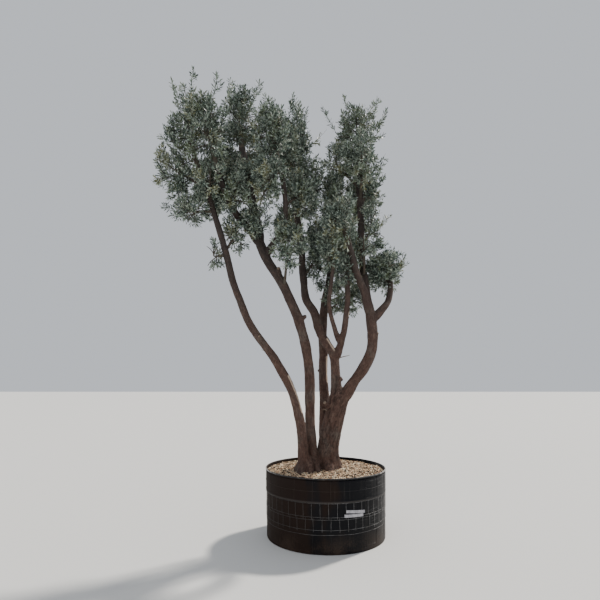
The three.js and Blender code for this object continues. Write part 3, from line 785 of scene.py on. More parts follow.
def inBox(points):
    return ((points > boxLow - boxSpare) & (points < boxHigh + boxSpare)).all(1)


def howFarOut(index, points):
    # 0 at a space's centre and 1 on its surface: in the space itself, and in the nearest other one
    found = np.linalg.norm((points[:, None] - spaceCentres) / spaceSizes, axis=-1)
    own = found[:, index].copy()
    found[:, index] = farOut
    return own, found.min(1)


def inOwnSpace(index, points, limit=1.0):
    own, nearest = howFarOut(index, points)
    return (own <= limit) & (own < nearest)


def inRaggedSpace(index, points):
    # as inOwnSpace, but ending unevenly where no other mass is near
    own, nearest = howFarOut(index, points)
    middle, swing = foliage["ragged"]
    limit = middle * spaces[index]["fullness"] + swing * latticeNoise(points / 0.14, 61)
    most = foliage["outermost"]
    limit = np.where(nearest < 1.5, np.maximum(limit, most), limit)
    return (own <= np.minimum(limit, most)) & (own < nearest)


def clearOfLimbs(points, dots, clearance):
    if not len(dots[0]):
        return np.ones(len(points), bool)
    apart = np.linalg.norm(points[:, None] - dots[0], axis=-1) - dots[1]
    return apart.min(1) > clearance


def bent(root, direction, length, lift, sway, shares):
    # a shoot that leaves its root along direction and turns upwards
    shares = np.asarray(shares)[:, None]
    return root + shares * length * direction + shares**2 * length * (np.array([0, 0, lift]) + sway)


def growTwig(index, height, azimuth, dots):
    space = spaces[index]
    flat = math.sqrt(1 - height**2)
    aim = np.array([flat * math.cos(azimuth), flat * math.sin(azimuth), height])
    share = np.clip(0.55 + 0.32 * height, 0.12, 0.97)
    root = space["stem"].at(share)[0]
    for reach in foliage["twigReach"]:
        end = space["centre"] + aim * space["size"] * reach
        middle = (root + end) / 2 + space["stem"].heading(share)[0] * 0.12 * np.linalg.norm(end - root)
        twig = Curve([root, middle, end])
        line = twig.at([0.4, 0.6, 0.8, 1])
        if inOwnSpace(index, line).all() and clearOfLimbs(line, dots, 0.008).all():
            return twig, min(0.0066, 0.62 * space["stemRadius"] * (1 - 0.6 * share))


def growTwigs(index, dots, rng):
    count = round(foliage["twigsPerSquareMetre"] * spaces[index]["section"]) + 2
    twigs = []
    for i in range(count):
        for _ in range(foliage["trials"]):
            height = np.clip(1 - 2 * (i + 0.5) / count + 0.4 * (rng.random() - 0.5), -1, 1)
            azimuth = i * goldenAngle + spaces[index]["seed"] + 1.2 * (rng.random() - 0.5)
            twig = growTwig(index, height, azimuth, dots)
            if twig:
                twigs.append(twig)
                break
    return twigs


def growSprays(index, carriers, dots, rng, kind):
    space = spaces[index]
    make = foliage[kind]
    count = round(make["perSquareMetre"] * space["section"] * space["fullness"] ** 2) + 2
    sprays, taken = [], np.empty((0, 3))
    for _ in range(count):
        best, bestScore = None, -1
        for _ in range(foliage["trials"]):
            carrier = carriers[rng.integers(len(carriers))]
            root = carrier.at(0.3 + 0.7 * rng.random() ** make["outwards"])[0]
            outward = (root - space["centre"]) / space["size"]
            direction = unit(outward + make["scatter"] * (rng.random(3) - (0.5, 0.5, 0.28)))
            if kind == "leaders":
                direction = unit(direction + (0, 0, 0.7))
            lift = rng.uniform(*make["lift"])
            sway = rng.normal(0, 0.08, 3)
            for length in make["lengths"]:
                length = length * rng.uniform(0.88, 1.12)
                line = bent(root, direction, length, lift, sway, (0.25, 0.5, 0.75, 1))
                if kind == "bushy":
                    free = inRaggedSpace(index, line).all()
                else:
                    free = inOwnSpace(index, line, space["past"]).all() and inBox(line).all()
                if free and clearOfLimbs(line, dots, 0.01).all():
                    break
            else:
                continue
            apart = np.linalg.norm(taken[:, None] - line[1:], axis=-1)
            score = (apart.min(initial=0.2) + 0.03) * (length + 0.1)  # room to the others, and length
            if score > bestScore:
                best, bestScore = (root, direction, length, lift, sway, line), score
        if best:
            sprays.append(best[:5])
            taken = np.vstack([taken, best[5][1:]])
    return sprays


def whipsOf(space):
    # the long shoots of one mass, in the form that growSprays gives
    lines = [np.array(line) for line in foliage["whips"].get(space["name"][len("foliage_"):], [])]
    return [(foot, unit(tip - foot), np.linalg.norm(tip - foot), foliage["whipLift"], np.zeros(3))
            for foot, tip in lines]


def sideShoots(sprays, slim, rng):
    # opposite pairs that leave the spray's axis
    roots, tips, owners = [], [], []
    for number, (root, direction, length, lift, sway) in enumerate(sprays):
        nodes = int(length / foliage["nodeSpacing"])
        bareShare = foliage["bareShare"][int(slim[number])]
        phase = rng.uniform(0, math.pi)
        for node in range(nodes):
            share = (node + 0.8) / (nodes + 0.8)
            base, ahead = bent(root, direction, length, lift, sway, [share, min(share + 0.02, 1)])
            tangent = unit(ahead - base) if share < 1 else direction
            side, front = crossFrames(tangent[None], tangent[None])
            for way in (0, math.pi):
                if rng.random() < bareShare:
                    continue
                turn = phase + node * math.pi / 2 + way
                spread = side[0] * math.cos(turn) + front[0] * math.sin(turn)
                tilt = rng.uniform(0.5, 0.85)
                reach = (0.05 + 0.34 * length * (1 - share)) * rng.uniform(0.7, 1.25)
                heading = tangent * math.cos(tilt) + spread * math.sin(tilt) + (0, 0, 0.12)
                roots.append(base)
                tips.append(base + reach * heading)
                owners.append(number)
    return np.array(roots), np.array(tips), np.array(owners)


def batchBars(lines, radii, sides):
    # many bars of the same make at once: lines is (count, rings, 3), radii is (count, rings)
    count, rings = radii.shape
    headings = np.empty_like(lines)
    headings[:, :-1] = lines[:, 1:] - lines[:, :-1]
    headings[:, -1] = headings[:, -2]
    side, front = crossFrames(unit(headings), unit(lines[:, -1] - lines[:, 0]))
    turn = circleOf(sides)
    spokes = side[:, :, None] * np.cos(turn)[:, None] + front[:, :, None] * np.sin(turn)[:, None]
    points = lines[:, :, None] + radii[:, :, None, None] * spokes
    bases = np.arange(count)[:, None, None] * rings * sides
    walls = (bases + barFaces(rings, sides)[None]).reshape(-1, 4)
    tips = bases[:, 0] + (rings - 1) * sides + np.arange(sides)
    travelled = np.cumsum(np.linalg.norm(np.diff(lines, axis=1, prepend=lines[:, :1]), axis=-1), axis=1)
    grain = np.stack([
        (radii[:, :, None] * np.cos(turn)).reshape(-1), (radii[:, :, None] * np.sin(turn)).reshape(-1),
        np.repeat((travelled + lines[:, :1, 2] * 7).reshape(-1), sides)], -1)
    return points.reshape(-1, 3), [walls, tips], grain


def spreadAcross(tangent, rng):
    vectors = rng.normal(0, 1, tangent.shape)
    return unit(vectors - tangent * (vectors * tangent).sum(-1, keepdims=True))


def leafPairs(starts, ends, thickness, first, terminal, spacing, numbers, rng):
    # opposite leaves, each pair turned a quarter from the last, along straight shoots
    lengths = np.linalg.norm(ends - starts, axis=1)
    counts = np.maximum((lengths * (1 - first) / spacing).round().astype(int), 1)
    owner = np.repeat(np.arange(len(starts)), counts)
    order = np.arange(len(owner)) - np.repeat(np.cumsum(counts) - counts, counts)
    share = first[owner] + (1 - first[owner]) * (order + 0.5 * rng.random(len(owner))) / counts[owner]
    owner, share, order = np.repeat(owner, 2), np.repeat(share, 2), np.repeat(order, 2)
    facing = np.tile([0.0, math.pi], len(owner) // 2)
    tangent = unit(ends - starts)
    side, front = crossFrames(tangent, tangent)
    phase = rng.uniform(0, math.pi, len(starts))
    astray = rng.normal(0, foliage["leafTurn"], len(owner))
    turn = (phase[owner] + order * math.pi / 2 + facing + astray)[:, None]
    footTilt, change, scatter = foliage["leafTilt"]
    tilt = np.radians(footTilt + change * share + rng.normal(0, scatter, len(owner)))[:, None]
    spread = side[owner] * np.cos(turn) + front[owner] * np.sin(turn)
    direction = tangent[owner] * np.cos(tilt) + spread * np.sin(tilt)
    root = starts[owner] + (ends - starts)[owner] * share[:, None] + spread * thickness[owner][:, None]
    facingUp = tangent[owner] - direction * (tangent[owner] * direction).sum(-1, keepdims=True)
    size = rng.uniform(0.68, 1.18, len(owner)) * (1 - 0.25 * share**3)
    kept = rng.random(len(owner)) > foliage["lostShare"]
    closing = np.flatnonzero(terminal)  # one leaf closes the tip of a shoot
    closingUp = spreadAcross(tangent[closing], rng)
    closingAhead = unit(tangent[closing] + 0.25 * rng.normal(0, 1, (len(closing), 3)))
    return (np.vstack([root[kept], ends[closing]]), np.vstack([direction[kept], closingAhead]),
            np.vstack([facingUp[kept], closingUp]),
            np.concatenate([size[kept], rng.uniform(0.6, 0.95, len(closing))]),
            np.concatenate([numbers[owner][kept], numbers[closing]]))


# A leaf has six points and four faces on each side: across, along and up, as shares of its width and length
leafOutline = np.array([(0, 0, 0), (0, 1, 0), (-0.44, 0.27, -0.1), (-0.46, 0.62, -0.12), (0.44, 0.27, -0.1),
                        (0.46, 0.62, -0.12)])
leafFaces = np.array([(0, 3, 2), (0, 1, 3), (0, 4, 5), (0, 5, 1), (0, 2, 4), (2, 3, 5), (2, 5, 4), (3, 1, 5)])
isUnderside = np.array([False, False, False, False, True, True, True, True])


def leafMesh(root, direction, facingUp, size, tones, rng):
    roll = rng.normal(0, 0.45, len(root))[:, None]
    up = unit(facingUp)
    up = up * np.cos(roll) + np.cross(direction, up) * np.sin(roll)
    side = np.cross(direction, up)
    length = foliage["leafLength"] * size
    width = foliage["leafWidth"] * size ** 0.6 * rng.uniform(0.85, 1.15, len(size))
    local = leafOutline[None] * np.stack([width, length, width], -1)[:, None]
    local[:, 1, 2] -= 0.16 * length * rng.uniform(0, 1, len(size))  # the tip droops
    points = (root[:, None] + local[..., :1] * side[:, None] + local[..., 1:2] * direction[:, None]
              + local[..., 2:] * up[:, None])
    faces = leafFaces[None] + len(leafOutline) * np.arange(len(root))[:, None, None]
    kinds = np.where(isUnderside[None], 4 + (tones[:, None] % 2), tones[:, None])
    return points.reshape(-1, 3), [faces.reshape(-1, 3)], kinds.reshape(-1)


def growMass(index):
    space = spaces[index]
    rng = np.random.default_rng(space["seed"])
    near = np.linalg.norm(limbCentres - space["centre"], axis=1) < space["size"].max() * 1.8
    dots = (limbCentres[near], limbRadii[near] * 1.05)
    shares = np.linspace(0, 1, 11)
    stemRadii = space["stemRadius"] * (1 - 0.7 * shares)
    if space["atTip"]:
        stemRadii = np.maximum(stemRadii, space["limbRadius"] * (1 - shares) ** 1.6 + 0.003)
    bars = [batchBars(space["stem"].at(shares)[None], stemRadii[None], 9)]
    twigs = growTwigs(index, dots, rng)
    if twigs:
        lines = np.stack([twig.at(np.linspace(0, 1, 5)) for twig, _ in twigs])
        thick = np.array([radius for _, radius in twigs])[:, None]
        bars.append(batchBars(lines, thick * np.linspace(1, 0.42, 5), 5))
    carriers = [space["stem"]] + [twig for twig, _ in twigs for _ in range(2)]
    bushy, leaders = (growSprays(index, carriers, dots, rng, kind) for kind in ("bushy", "leaders"))
    whips = whipsOf(space)
    sprays = bushy + leaders + whips
    count = len(sprays)
    whipsFrom = count - len(whips)
    slim = np.arange(count) >= len(bushy)
    axes = np.stack([bent(*spray, [0, 0.34, 0.67, 1]) for spray in sprays])
    bars.append(batchBars(axes, np.tile(foliage["sprayRadii"], (count, 1)), 3))
    tones = rng.choice(4, count, p=foliage["toneShares"])
    roots, tips, owners = sideShoots(sprays, slim, rng)
    limit = np.where(owners < whipsFrom, foliage["sideLimit"], farOut)
    kept = inOwnSpace(index, tips, limit) & clearOfLimbs(tips, dots, 0.008) & inBox(tips)
    roots, tips, owners = roots[kept], tips[kept], owners[kept]
    bars.append(batchBars(np.stack([roots, tips], 1), np.tile(foliage["sideRadii"], (len(roots), 1)), 3))
    # leaves stand along the three stretches of each axis and along the side shoots
    starts = np.concatenate([axes[:, 0], axes[:, 1], axes[:, 2], roots])
    ends = np.concatenate([axes[:, 1], axes[:, 2], axes[:, 3], tips])
    first = np.concatenate([np.where(slim, 0.35, 0.75), np.full(count, 0.05), np.full(count, 0.02),
                            np.full(len(roots), 0.2)])
    terminal = np.arange(len(starts)) >= 2 * count
    thickness = np.where(np.arange(len(starts)) < 3 * count, *foliage["leafStand"])
    numbers = np.concatenate([np.tile(np.arange(count), 3), owners])
    spacing = np.where(slim, foliage["leaders"]["spacing"], foliage["bushy"]["spacing"])
    spacing[whipsFrom:] = foliage["whipSpacing"]
    leaves = leafPairs(starts, ends, thickness, first, terminal, spacing[numbers], numbers, rng)
    root, direction, _, size, numbers = leaves
    tips = root + direction * (foliage["leafLength"] * size)[:, None]
    limit = np.where(numbers < whipsFrom, space["past"] + 0.1, farOut)
    kept = inOwnSpace(index, tips, limit) & clearOfLimbs(tips, dots, 0.002) & inBox(tips)
    root, direction, facingUp, size, numbers = (array[kept] for array in leaves)
    return bars, leafMesh(root, direction, facingUp, size, tones[numbers], rng)


# The last two tones are for the undersides
leafTones = {
    "leaf_dark": ((0.024, 0.044, 0.034), (0.044, 0.069, 0.050)),
    "leaf_grey": ((0.056, 0.090, 0.072), (0.086, 0.123, 0.098)),
    "leaf_olive": ((0.072, 0.098, 0.050), (0.106, 0.135, 0.070)),
    "leaf_yellowish": ((0.125, 0.130, 0.060), (0.168, 0.168, 0.079)),
    "leaf_silver": ((0.222, 0.272, 0.230), (0.292, 0.342, 0.286)),
    "leaf_pale": ((0.292, 0.332, 0.270), (0.376, 0.416, 0.334)),
}


def leafMaterial(name, dark, light):
    underside = name in ("leaf_silver", "leaf_pale")
    gloss = (0.75, 0.3) if underside else (0.42, 0.5)
    shader = Shader(name, {"Roughness": gloss[0], "Specular IOR Level": gloss[1]})
    mottle = shader.noise(shader.place(), 38, 2)
    shader.look("Base Color", shader.blend(shader.rise(mottle, 0.35, 0.65), dark, light))
    shader.relief(shader.noise(shader.place(), 420, 2), 0.25, 0.0008)  # veins
    return shader.material


leafSkins = [leafMaterial(name, *tones) for name, tones in leafTones.items()]
twigSkin = barkMaterial("twig_bark", (0.1, 0.083, 0.065), (0.085, 0.076, 0.060))
numberOf = {space["name"]: index for index, space in enumerate(spaces)}
for group, masses in foliage["groups"].items():
    nodes = ["foliage_" + name for name in masses]
    grown = [growMass(numberOf[node]) for node in nodes]
    bars = [bar for found, _ in grown for bar in found]
    leaves = [leafPart for _, leafPart in grown]
    twigsName, leavesName = "twigs_" + group, "leaves_" + group
    marks = {"grain": np.vstack([bar[2] for bar in bars])}
    show(twigsName, meshFrom(twigsName, *joined(bars), True, marks=marks), [twigSkin], "bark", *nodes)
    kinds = np.concatenate([part[2] for part in leaves])
    show(leavesName, meshFrom(leavesName, *joined(leaves), kinds=kinds), leafSkins, "leaves", *nodes)
print("foliage done")

# Pot, and the sleeve round its upper third
pot = {
    "height": 0.64, "foot": 0.58, "top": 0.591, "segments": 192,
    "sleeveFoot": 0.43, "sleeveTop": 0.619, "sleeveInside": 0.0004, "sleeveOutside": 0.007,
}


def potRadius(height):
    return pot["foot"] + (pot["top"] - pot["foot"]) * height / pot["height"]


def turnedMesh(name, profile, waviness, seed):
    # turns a profile of (radius, height) round the axis, slightly out of true
    count = pot["segments"]
    radius, height = np.repeat(np.array(profile), count, 0).T
    angle = np.tile(circleOf(count), len(profile))
    circle = np.stack([np.cos(angle) * 3, np.sin(angle) * 3, height * 6], -1)
    wave = latticeNoise(circle, seed) + 0.5 * latticeNoise(circle * 2.3, seed + 1)
    radius = np.where(radius > 0.3, radius + waviness * (wave - 1), radius)
    points = np.stack([radius * np.cos(angle), radius * np.sin(angle), height], -1)
    mesh = meshFrom(name, points, [barFaces(len(profile), count)], True)
    body = bmesh.new()
    body.from_mesh(mesh)
    bmesh.ops.remove_doubles(body, verts=body.verts, dist=1e-6)
    bmesh.ops.dissolve_degenerate(body, edges=body.edges, dist=1e-7)
    body.to_mesh(mesh)
    body.free()
    return mesh


def wall(out, *heights):
    # points of a profile that stand off the pot's outside by the same distance
    return [(potRadius(z) + out, z) for z in heights]


def plasticMaterial(name, base, brownTone, dust, rub, edge=None):
    shader = Shader(name, {"Specular IOR Level": 0.12})
    place = shader.place()
    x, z = shader.part(place, 0), shader.part(place, 2)
    clouds = shader.noise(place, 3.2, 4)
    panels = shader.noise(place, (4.2, 4.2, 0.7), 2)
    wipes = shader.noise(place, (5, 5, 38), 5, 0.65)
    runs = shader.noise(place, (46, 46, 2.2), 4, 0.6)
    specks = shader.noise(place, 160, 2)
    scratchesAndSheen = shader.noise(place, (9, 9, 85), 4, 0.7)
    low = shader.rise(z, 0.2, 0.0)
    # a brownish, rougher film in patches, stronger towards the left
    brownTowardsLeft = shader.rise(0.6 * panels + 0.3 * clouds - 0.8 * x, 0.4, 0.52)
    rightSide = shader.rise(x, 0.2, 0.6)
    tone = shader.blend(0.92 * brownTowardsLeft, base, brownTone)
    for share, colour in (
            (dust * shader.rise(runs + 0.35 * clouds + 0.4 * x, 0.75, 1.1), (0.085, 0.075, 0.065)),
            (0.5 * low * shader.rise(specks + clouds, 0.85, 1.25), (0.09, 0.06, 0.042)),
            (rub * shader.rise(wipes, 0.62, 0.8), (0.06, 0.055, 0.052)),
            # pale scratches on the right side only: real scratches together with painted sheen where the
            # light falls
            (0.5 * rightSide * shader.rise(scratchesAndSheen, 0.55, 0.72), (0.24, 0.235, 0.23))):
        tone = shader.blend(share, tone, colour)
    # a painted highlight along the sleeve's lower edge
    if edge:
        tone = shader.blend(0.55 * shader.rise(z, edge + 0.02, edge + 0.004), tone, (0.075, 0.068, 0.064))
    shader.look("Base Color", tone)
    shader.look("Roughness", 0.34 + 0.3 * brownTowardsLeft + 0.2 * wipes)
    shader.relief(wipes + 0.3 * specks + 0.6 * runs, 0.18, 0.003)
    return shader.material


shellSkin = plasticMaterial("pot_plastic", (0.0016, 0.0019, 0.0036), (0.0165, 0.0092, 0.0062), 0.14, 0.08)
shellProfile = [
    (0, 0), (0.3, 0), (0.572, 0), (0.5785, 0.0015), *wall(0, 0.008, *np.linspace(0.03, 0.6, 20), 0.621),
    (0.5975, 0.6225), (0.5995, 0.6255), (0.6, 0.63), (0.5995, 0.635), (0.5975, 0.6385),  # the rolled lip
    (0.594, pot["height"]), (0.589, 0.6395), (0.5855, 0.637), (0.583, 0.632),
    *wall(-0.008, 0.62, 0.59, 0.3, 0.02), (0.566, 0.012), (0.3, 0.012), (0, 0.012)]
show("pot_shell", turnedMesh("pot_shell", shellProfile, 0.0006, 21), [shellSkin], "pot_plastic", "pot")

sleeveFoot, sleeveTop = pot["sleeveFoot"], pot["sleeveTop"]
inside, outside = pot["sleeveInside"], pot["sleeveOutside"]
sleeveSkin = plasticMaterial("sleeve_plastic", (0.0017, 0.0020, 0.0038), (0.0155, 0.0088, 0.0064), 0.2, 0.11,
                             sleeveFoot)
footRadius, topRadius = potRadius(sleeveFoot), potRadius(sleeveTop)
sleeveProfile = [
    *wall(outside - 0.0012, *np.linspace(sleeveFoot + 0.026, sleeveTop - 0.004, 12)),
    (topRadius + outside - 0.003, sleeveTop), (topRadius + inside, sleeveTop - 0.001),
    *wall(inside, 0.56, 0.5, sleeveFoot + 0.001), (footRadius + 0.004, sleeveFoot),
    (footRadius + outside + 0.0006, sleeveFoot + 0.003), (footRadius + outside + 0.0014, sleeveFoot + 0.011),
    (footRadius + outside + 0.0006, sleeveFoot + 0.02)]
sleeveProfile.append(sleeveProfile[0])
show("pot_sleeve", turnedMesh("pot_sleeve", sleeveProfile, 0.0006, 33), [sleeveSkin], "collar_plastic",
     "pot_collar")


def wornLipAndSheenMaterial():
    shader = Shader("worn_lip_and_sheen", {"Roughness": 0.7})
    sideways = shader.part(shader.place(), 0)
    scuffs = shader.noise(shader.place(), (24, 24, 60), 5, 0.7)
    # paler towards the left and right: painted sheen where the rim turns away
    scuffs = scuffs + 0.35 * shader.rise(sideways * sideways, 0.12, 0.36) - 0.14
    shader.look("Base Color", shader.ramp(scuffs, [
        (0.36, (0.008, 0.008, 0.01)), (0.52, (0.075, 0.07, 0.066)), (0.72, (0.36, 0.34, 0.32))]))
    shader.relief(scuffs, 0.4, 0.002)
    return shader.material


# Lip wear and painted sheen: a pale, rubbed band that sits on the lip, paler towards its left and right ends
# as painted sheen
lipProfile = [(0.5935, 0.6398), (0.5955, 0.6405), (0.5985, 0.6385), (0.6004, 0.635), (0.6004, 0.6305),
              (0.5985, 0.6295), (0.596, 0.634), (0.5935, 0.6398)]
show("lip_wear_and_sheen", turnedMesh("lip_wear_and_sheen", lipProfile, 0.0005, 33), [wornLipAndSheenMaterial()], "pot_plastic")

# Wire mesh round the pot, and the coarser mesh that shows through the sleeve
wires = {
    "bars": 48, "radius": 0.0012, "hoops": (0.4265, 0.312, 0.205), "faintHoops": (0.291, 0.164),
    "inset": 0.0042,  # from the pot's outside to the middle of an upright
    "coarseBars": 22, "coarseTurn": 0.603, "ribRadius": 0.0016, "ribHoop": 0.53,
}


def hoop(height, out, thickness, wobble, seed=1):
    count, sides = 160, 6
    turn, around = circleOf(count), circleOf(sides)
    circle = np.stack([np.cos(turn) * 4, np.sin(turn) * 4, np.full(count, height * 31)], -1)
    heights = height + wobble * latticeNoise(circle, seed)
    ring = np.stack([np.cos(turn), np.sin(turn), np.zeros(count)], -1)
    points = (ring[:, None] * (potRadius(height) + out + thickness * np.cos(around))[None, :, None]
              + np.array([0, 0, 1]) * (heights[:, None] + thickness * np.sin(around))[..., None])
    # the last row of faces closes on the first ring
    return points.reshape(-1, 3), [barFaces(count + 1, sides)[:, ::-1] % (count * sides)]


def uprights(count, low, high, offset, thickness, inset, rng):
    turn = (np.arange(count) + offset) * 2 * math.pi / count + rng.normal(0, 0.004, count)
    lean = rng.normal(0, 0.004, count)
    shares = np.linspace(0, 1, 5)
    angle = turn[:, None] + lean[:, None] * shares
    heights = (low + rng.uniform(-0.006, 0.004, count))[:, None] * (1 - shares) + high * shares
    radius = potRadius(heights) + inset
    lines = np.stack([radius * np.cos(angle), radius * np.sin(angle), heights], -1)
    return batchBars(lines, np.full(lines.shape[:2], thickness), 5)


def wireMaterial():
    shader = Shader("wire", {"Metallic": 0.35, "Specular IOR Level": 0.4})
    rust = shader.noise(shader.place(), 26, 4)
    tone = shader.ramp(rust, [(0.35, (0.10, 0.095, 0.09)), (0.62, (0.26, 0.255, 0.255))])
    # darker towards the left: painted shade on the side away from the sun
    paintedShadeLeft = shader.rise(shader.part(shader.place(), 0), 0.1, -0.4)
    shader.look("Base Color", shader.blend(0.75 * paintedShadeLeft, tone, (0.05, 0.042, 0.037)))
    shader.look("Roughness", 0.5 + 0.3 * rust)
    shader.relief(rust, 0.3, 0.0008)
    return shader.material


rng = np.random.default_rng(5)
wireParts = [hoop(z, 0.0016, wires["radius"], 0.0015) for z in wires["hoops"]]
wireParts += [hoop(z, 0.0008, 0.0011, 0.002, 4) for z in wires["faintHoops"]]
wireParts += [uprights(wires["bars"], low, high, offset, wires["radius"], wires["inset"], rng)
              for low, high, offset in ((0.302, 0.434, 0.0), (0.19, 0.31, 0.2))]
show("wire_mesh", meshFrom("wire_mesh", *joined(wireParts), True), [wireMaterial()], "collar_plastic")

ribSkin = plasticMaterial("rib_plastic", (0.024, 0.023, 0.025), (0.045, 0.034, 0.028), 0.3, 0.3)
ribParts = [hoop(wires["ribHoop"], outside - 0.001, wires["ribRadius"], 0.002)]
ribParts += [uprights(wires["coarseBars"], low, high, wires["coarseTurn"], thickness, out, rng)
             for low, high, thickness, out in ((0.455, 0.617, wires["ribRadius"], outside - 0.001),
                                               (0.02, 0.16, 0.0012, 0.0004))]
show("sleeve_ribs", meshFrom("sleeve_ribs", *joined(ribParts), True), [ribSkin], "collar_plastic")

# Two bare strips on the front
strips = {
    "wide": 0.19, "tall": 0.025, "thick": 0.0022, "out": 0.0058, "steps": 17,
    "places": ((-65.9, 0.351, -0.085), (-67.6, 0.3195, -0.03)),  # angle round the pot, height and tilt
}


def stripPart(angle, height, tilt):
    tall, steps = strips["tall"] / 2, strips["steps"]
    along = np.linspace(-0.5, 0.5, steps) * strips["wide"]
    turn = math.radians(angle) + along / 0.597
    edges = []
    for up, out in ((-tall, 0), (tall, 0), (tall, strips["thick"]), (-tall, strips["thick"])):
        radius = potRadius(height) + strips["out"] + out
        edges.append(np.stack([radius * np.cos(turn), radius * np.sin(turn), height + up + tilt * along], -1))
    near = np.arange(4)[:, None] * steps + np.arange(steps - 1)
    far = (near + steps) % (4 * steps)
    ends = steps * np.array([(0, 3, 2, 1), (0, 1, 2, 3)]) + [[0], [steps - 1]]
    return np.vstack(edges), [np.stack([near, far, far + 1, near + 1], -1).reshape(-1, 4), ends]


def stripMaterial():
    shader = Shader("strip", {"Roughness": 0.5})
    grime = shader.noise(shader.place(), 45, 4)
    shader.look("Base Color", shader.ramp(grime, [(0.3, (0.24, 0.23, 0.25)), (0.65, (0.46, 0.45, 0.48))]))
    shader.relief(grime, 0.15, 0.001)
    return shader.material


stripMesh = meshFrom("front_strips", *joined([stripPart(*place) for place in strips["places"]]))
show("front_strips", stripMesh, [stripMaterial()], "collar_plastic")
print("pot done")

# Potting mix: an uneven bed under loose wood chips
mulch = {
    "radius": 0.5815, "level": 0.604, "dome": 0.010, "foot": 0.56, "ripple": 0.006, "grit": 0.003,
    "chips": 6200, "spread": 0.578,
    "length": (0.012, 0.04), "width": (0.005, 0.013), "thickness": (0.002, 0.005),
    "kinds": {  # the share of each kind of chip, and its darkest and lightest tone
        "chip_tan": (0.3, (0.45, 0.31, 0.19), (0.72, 0.53, 0.34)),
        "chip_pink": (0.22, (0.40, 0.25, 0.165), (0.62, 0.43, 0.29)),
        "chip_dark": (0.22, (0.020, 0.013, 0.009), (0.052, 0.033, 0.022)),
        "chip_pale": (0.16, (0.66, 0.55, 0.39), (0.84, 0.74, 0.55)),
        "chip_grey": (0.1, (0.16, 0.130, 0.10), (0.27, 0.220, 0.175)),
    },
}


def bedHeight(x, y):
    out = np.hypot(x, y) / mulch["radius"]
    ripple = latticeNoise(np.stack([x * 9, y * 9, x * 0], -1), 41) * mulch["ripple"]
    return mulch["level"] + mulch["dome"] * (1 - out**2) + ripple


def bedMesh():
    rings, count = 40, 160
    radius = np.linspace(0.004, mulch["radius"], rings)[:, None]
    x = (radius * np.cos(circleOf(count))).ravel()
    y = (radius * np.sin(circleOf(count))).ravel()
    z = bedHeight(x, y) + mulch["grit"] * latticeNoise(np.stack([x * 60, y * 60, x * 0], -1), 43)
    top = np.stack([x, y, z], -1)
    points = np.vstack([top, top[-count:] * (1, 1, 0) + (0, 0, mulch["foot"])])
    around = np.arange(count)[None]
    ends = [around, rings * count + around[:, ::-1]]
    return meshFrom("mix_bed", points, [barFaces(rings + 1, count), *ends], True)


def chipMaterial(name, dark, light):
    shader = Shader(name, {"Roughness": 0.9, "Specular IOR Level": 0.2})
    fibre = shader.noise(shader.place(), 130, 4, 0.7)
    shader.look("Base Color", shader.blend(shader.rise(fibre, 0.35, 0.65), dark, light))
    shader.relief(fibre, 0.5, 0.0015)
    return shader.material


def chipPlaces(rng):
    # anywhere on the bed but under a stem
    count = mulch["chips"]
    radius = mulch["spread"] * np.sqrt(rng.random(count))
    turn = rng.uniform(0, 2 * math.pi, count)
    x, y = radius * np.cos(turn), radius * np.sin(turn)
    free = np.ones(count, bool)
    for limb in limbs.values():
        if "flare" in limb:
            foot = limb["curve"].at(0)[0]
            free &= np.hypot(x - foot[0], y - foot[1]) > limb["base"] * mm * (1 + limb["flare"]) * 0.86
    return x[free], y[free]


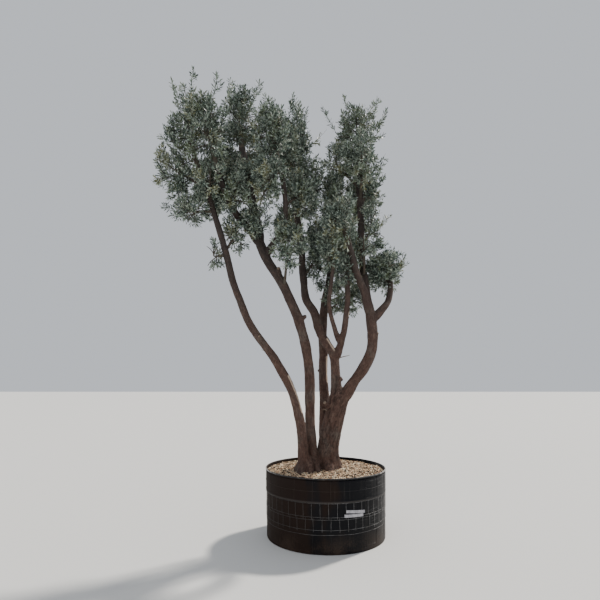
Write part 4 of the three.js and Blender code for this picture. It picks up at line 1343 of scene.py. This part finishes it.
def chipMesh():
    rng = np.random.default_rng(77)
    x, y = chipPlaces(rng)
    count = len(x)
    box = np.array([(i, j, k) for i in (-1, 1) for j in (-1, 1) for k in (-1, 1)]) * 0.5
    size = np.stack([rng.uniform(*mulch[side], count) for side in ("length", "width", "thickness")], -1)
    local = box[None] * size[:, None] * rng.uniform(0.6, 1.15, (count, 8, 3))
    yaw = rng.uniform(0, 2 * math.pi, count)
    pitch, roll = rng.normal(0, 0.24, (2, count))
    ahead = np.stack([np.cos(yaw) * np.cos(pitch), np.sin(yaw) * np.cos(pitch), np.sin(pitch)], -1)
    side = unit(np.cross([0, 0, 1], ahead))
    up = np.cross(ahead, side)
    roll = roll[:, None]
    side, up = side * np.cos(roll) + up * np.sin(roll), up * np.cos(roll) - side * np.sin(roll)
    centre = np.stack([x, y, bedHeight(x, y) + rng.uniform(0.001, 0.008, count)], -1)
    points = (centre[:, None] + local[..., :1] * ahead[:, None] + local[..., 1:2] * side[:, None]
              + local[..., 2:] * up[:, None])
    boxFaces = np.array([(0, 1, 3, 2), (4, 6, 7, 5), (0, 4, 5, 1), (2, 3, 7, 6), (0, 2, 6, 4), (1, 5, 7, 3)])
    faces = (boxFaces[None] + 8 * np.arange(count)[:, None, None]).reshape(-1, 4)
    kinds = np.repeat(rng.choice(5, count, p=[kind[0] for kind in mulch["kinds"].values()]), 6)
    return meshFrom("wood_chips", points.reshape(-1, 3), [faces], kinds=kinds)


bedSkin = chipMaterial("mix", (0.032, 0.020, 0.014), (0.10, 0.066, 0.045))
chipSkins = [chipMaterial(name, *tones) for name, (_, *tones) in mulch["kinds"].items()]
show("mix_bed", bedMesh(), [bedSkin], "mulch", "potting_mix")
show("wood_chips", chipMesh(), chipSkins, "mulch", "potting_mix")
print("potting mix done")

# Floor and light
studio = {
    "floor": (0.62, 0.615, 0.6),
    "floorReach": 40,
    "world": (0.84, 0.88, 0.94),
    "worldStrength": 0.76,
    "sun": {"from": (5.0, 4.2, 6.6), "angle": 5, "strength": 5.3, "colour": (1, 0.95, 0.87)},
    "fill": {"from": (-4.0, -7.0, 4.5), "angle": 40, "strength": 0.45, "colour": (0.96, 0.98, 1)},
}


def addSun(name):
    light = studio[name]
    lamp = bpy.data.lights.new(name, "SUN")
    lamp.angle = math.radians(light["angle"])
    lamp.energy = light["strength"]
    lamp.color = light["colour"]
    body = bpy.data.objects.new(name, lamp)
    body.rotation_euler = Vector(light["from"]).to_track_quat("Z", "Y").to_euler()
    bpy.context.scene.collection.objects.link(body)


def setStudio():
    world = bpy.data.worlds.new("studio")
    world.use_nodes = True
    background = world.node_tree.nodes["Background"]
    background.inputs["Color"].default_value = (*studio["world"], 1)
    background.inputs["Strength"].default_value = studio["worldStrength"]
    bpy.context.scene.world = world
    corners = np.array([(-1, -1, 0), (1, -1, 0), (1, 1, 0), (-1, 1, 0)]) * studio["floorReach"]
    corners = corners - (0, 0, 0.0006)  # just under the pot's floor
    floor = bpy.data.objects.new("floor", meshFrom("floor", corners, [np.array([[0, 1, 2, 3]])]))
    floor.data.materials.append(Shader("floor", {"Base Color": studio["floor"], "Roughness": 0.9}).material)
    bpy.context.scene.collection.objects.link(floor)
    addSun("sun")
    addSun("fill")


setCamera()
setStudio()
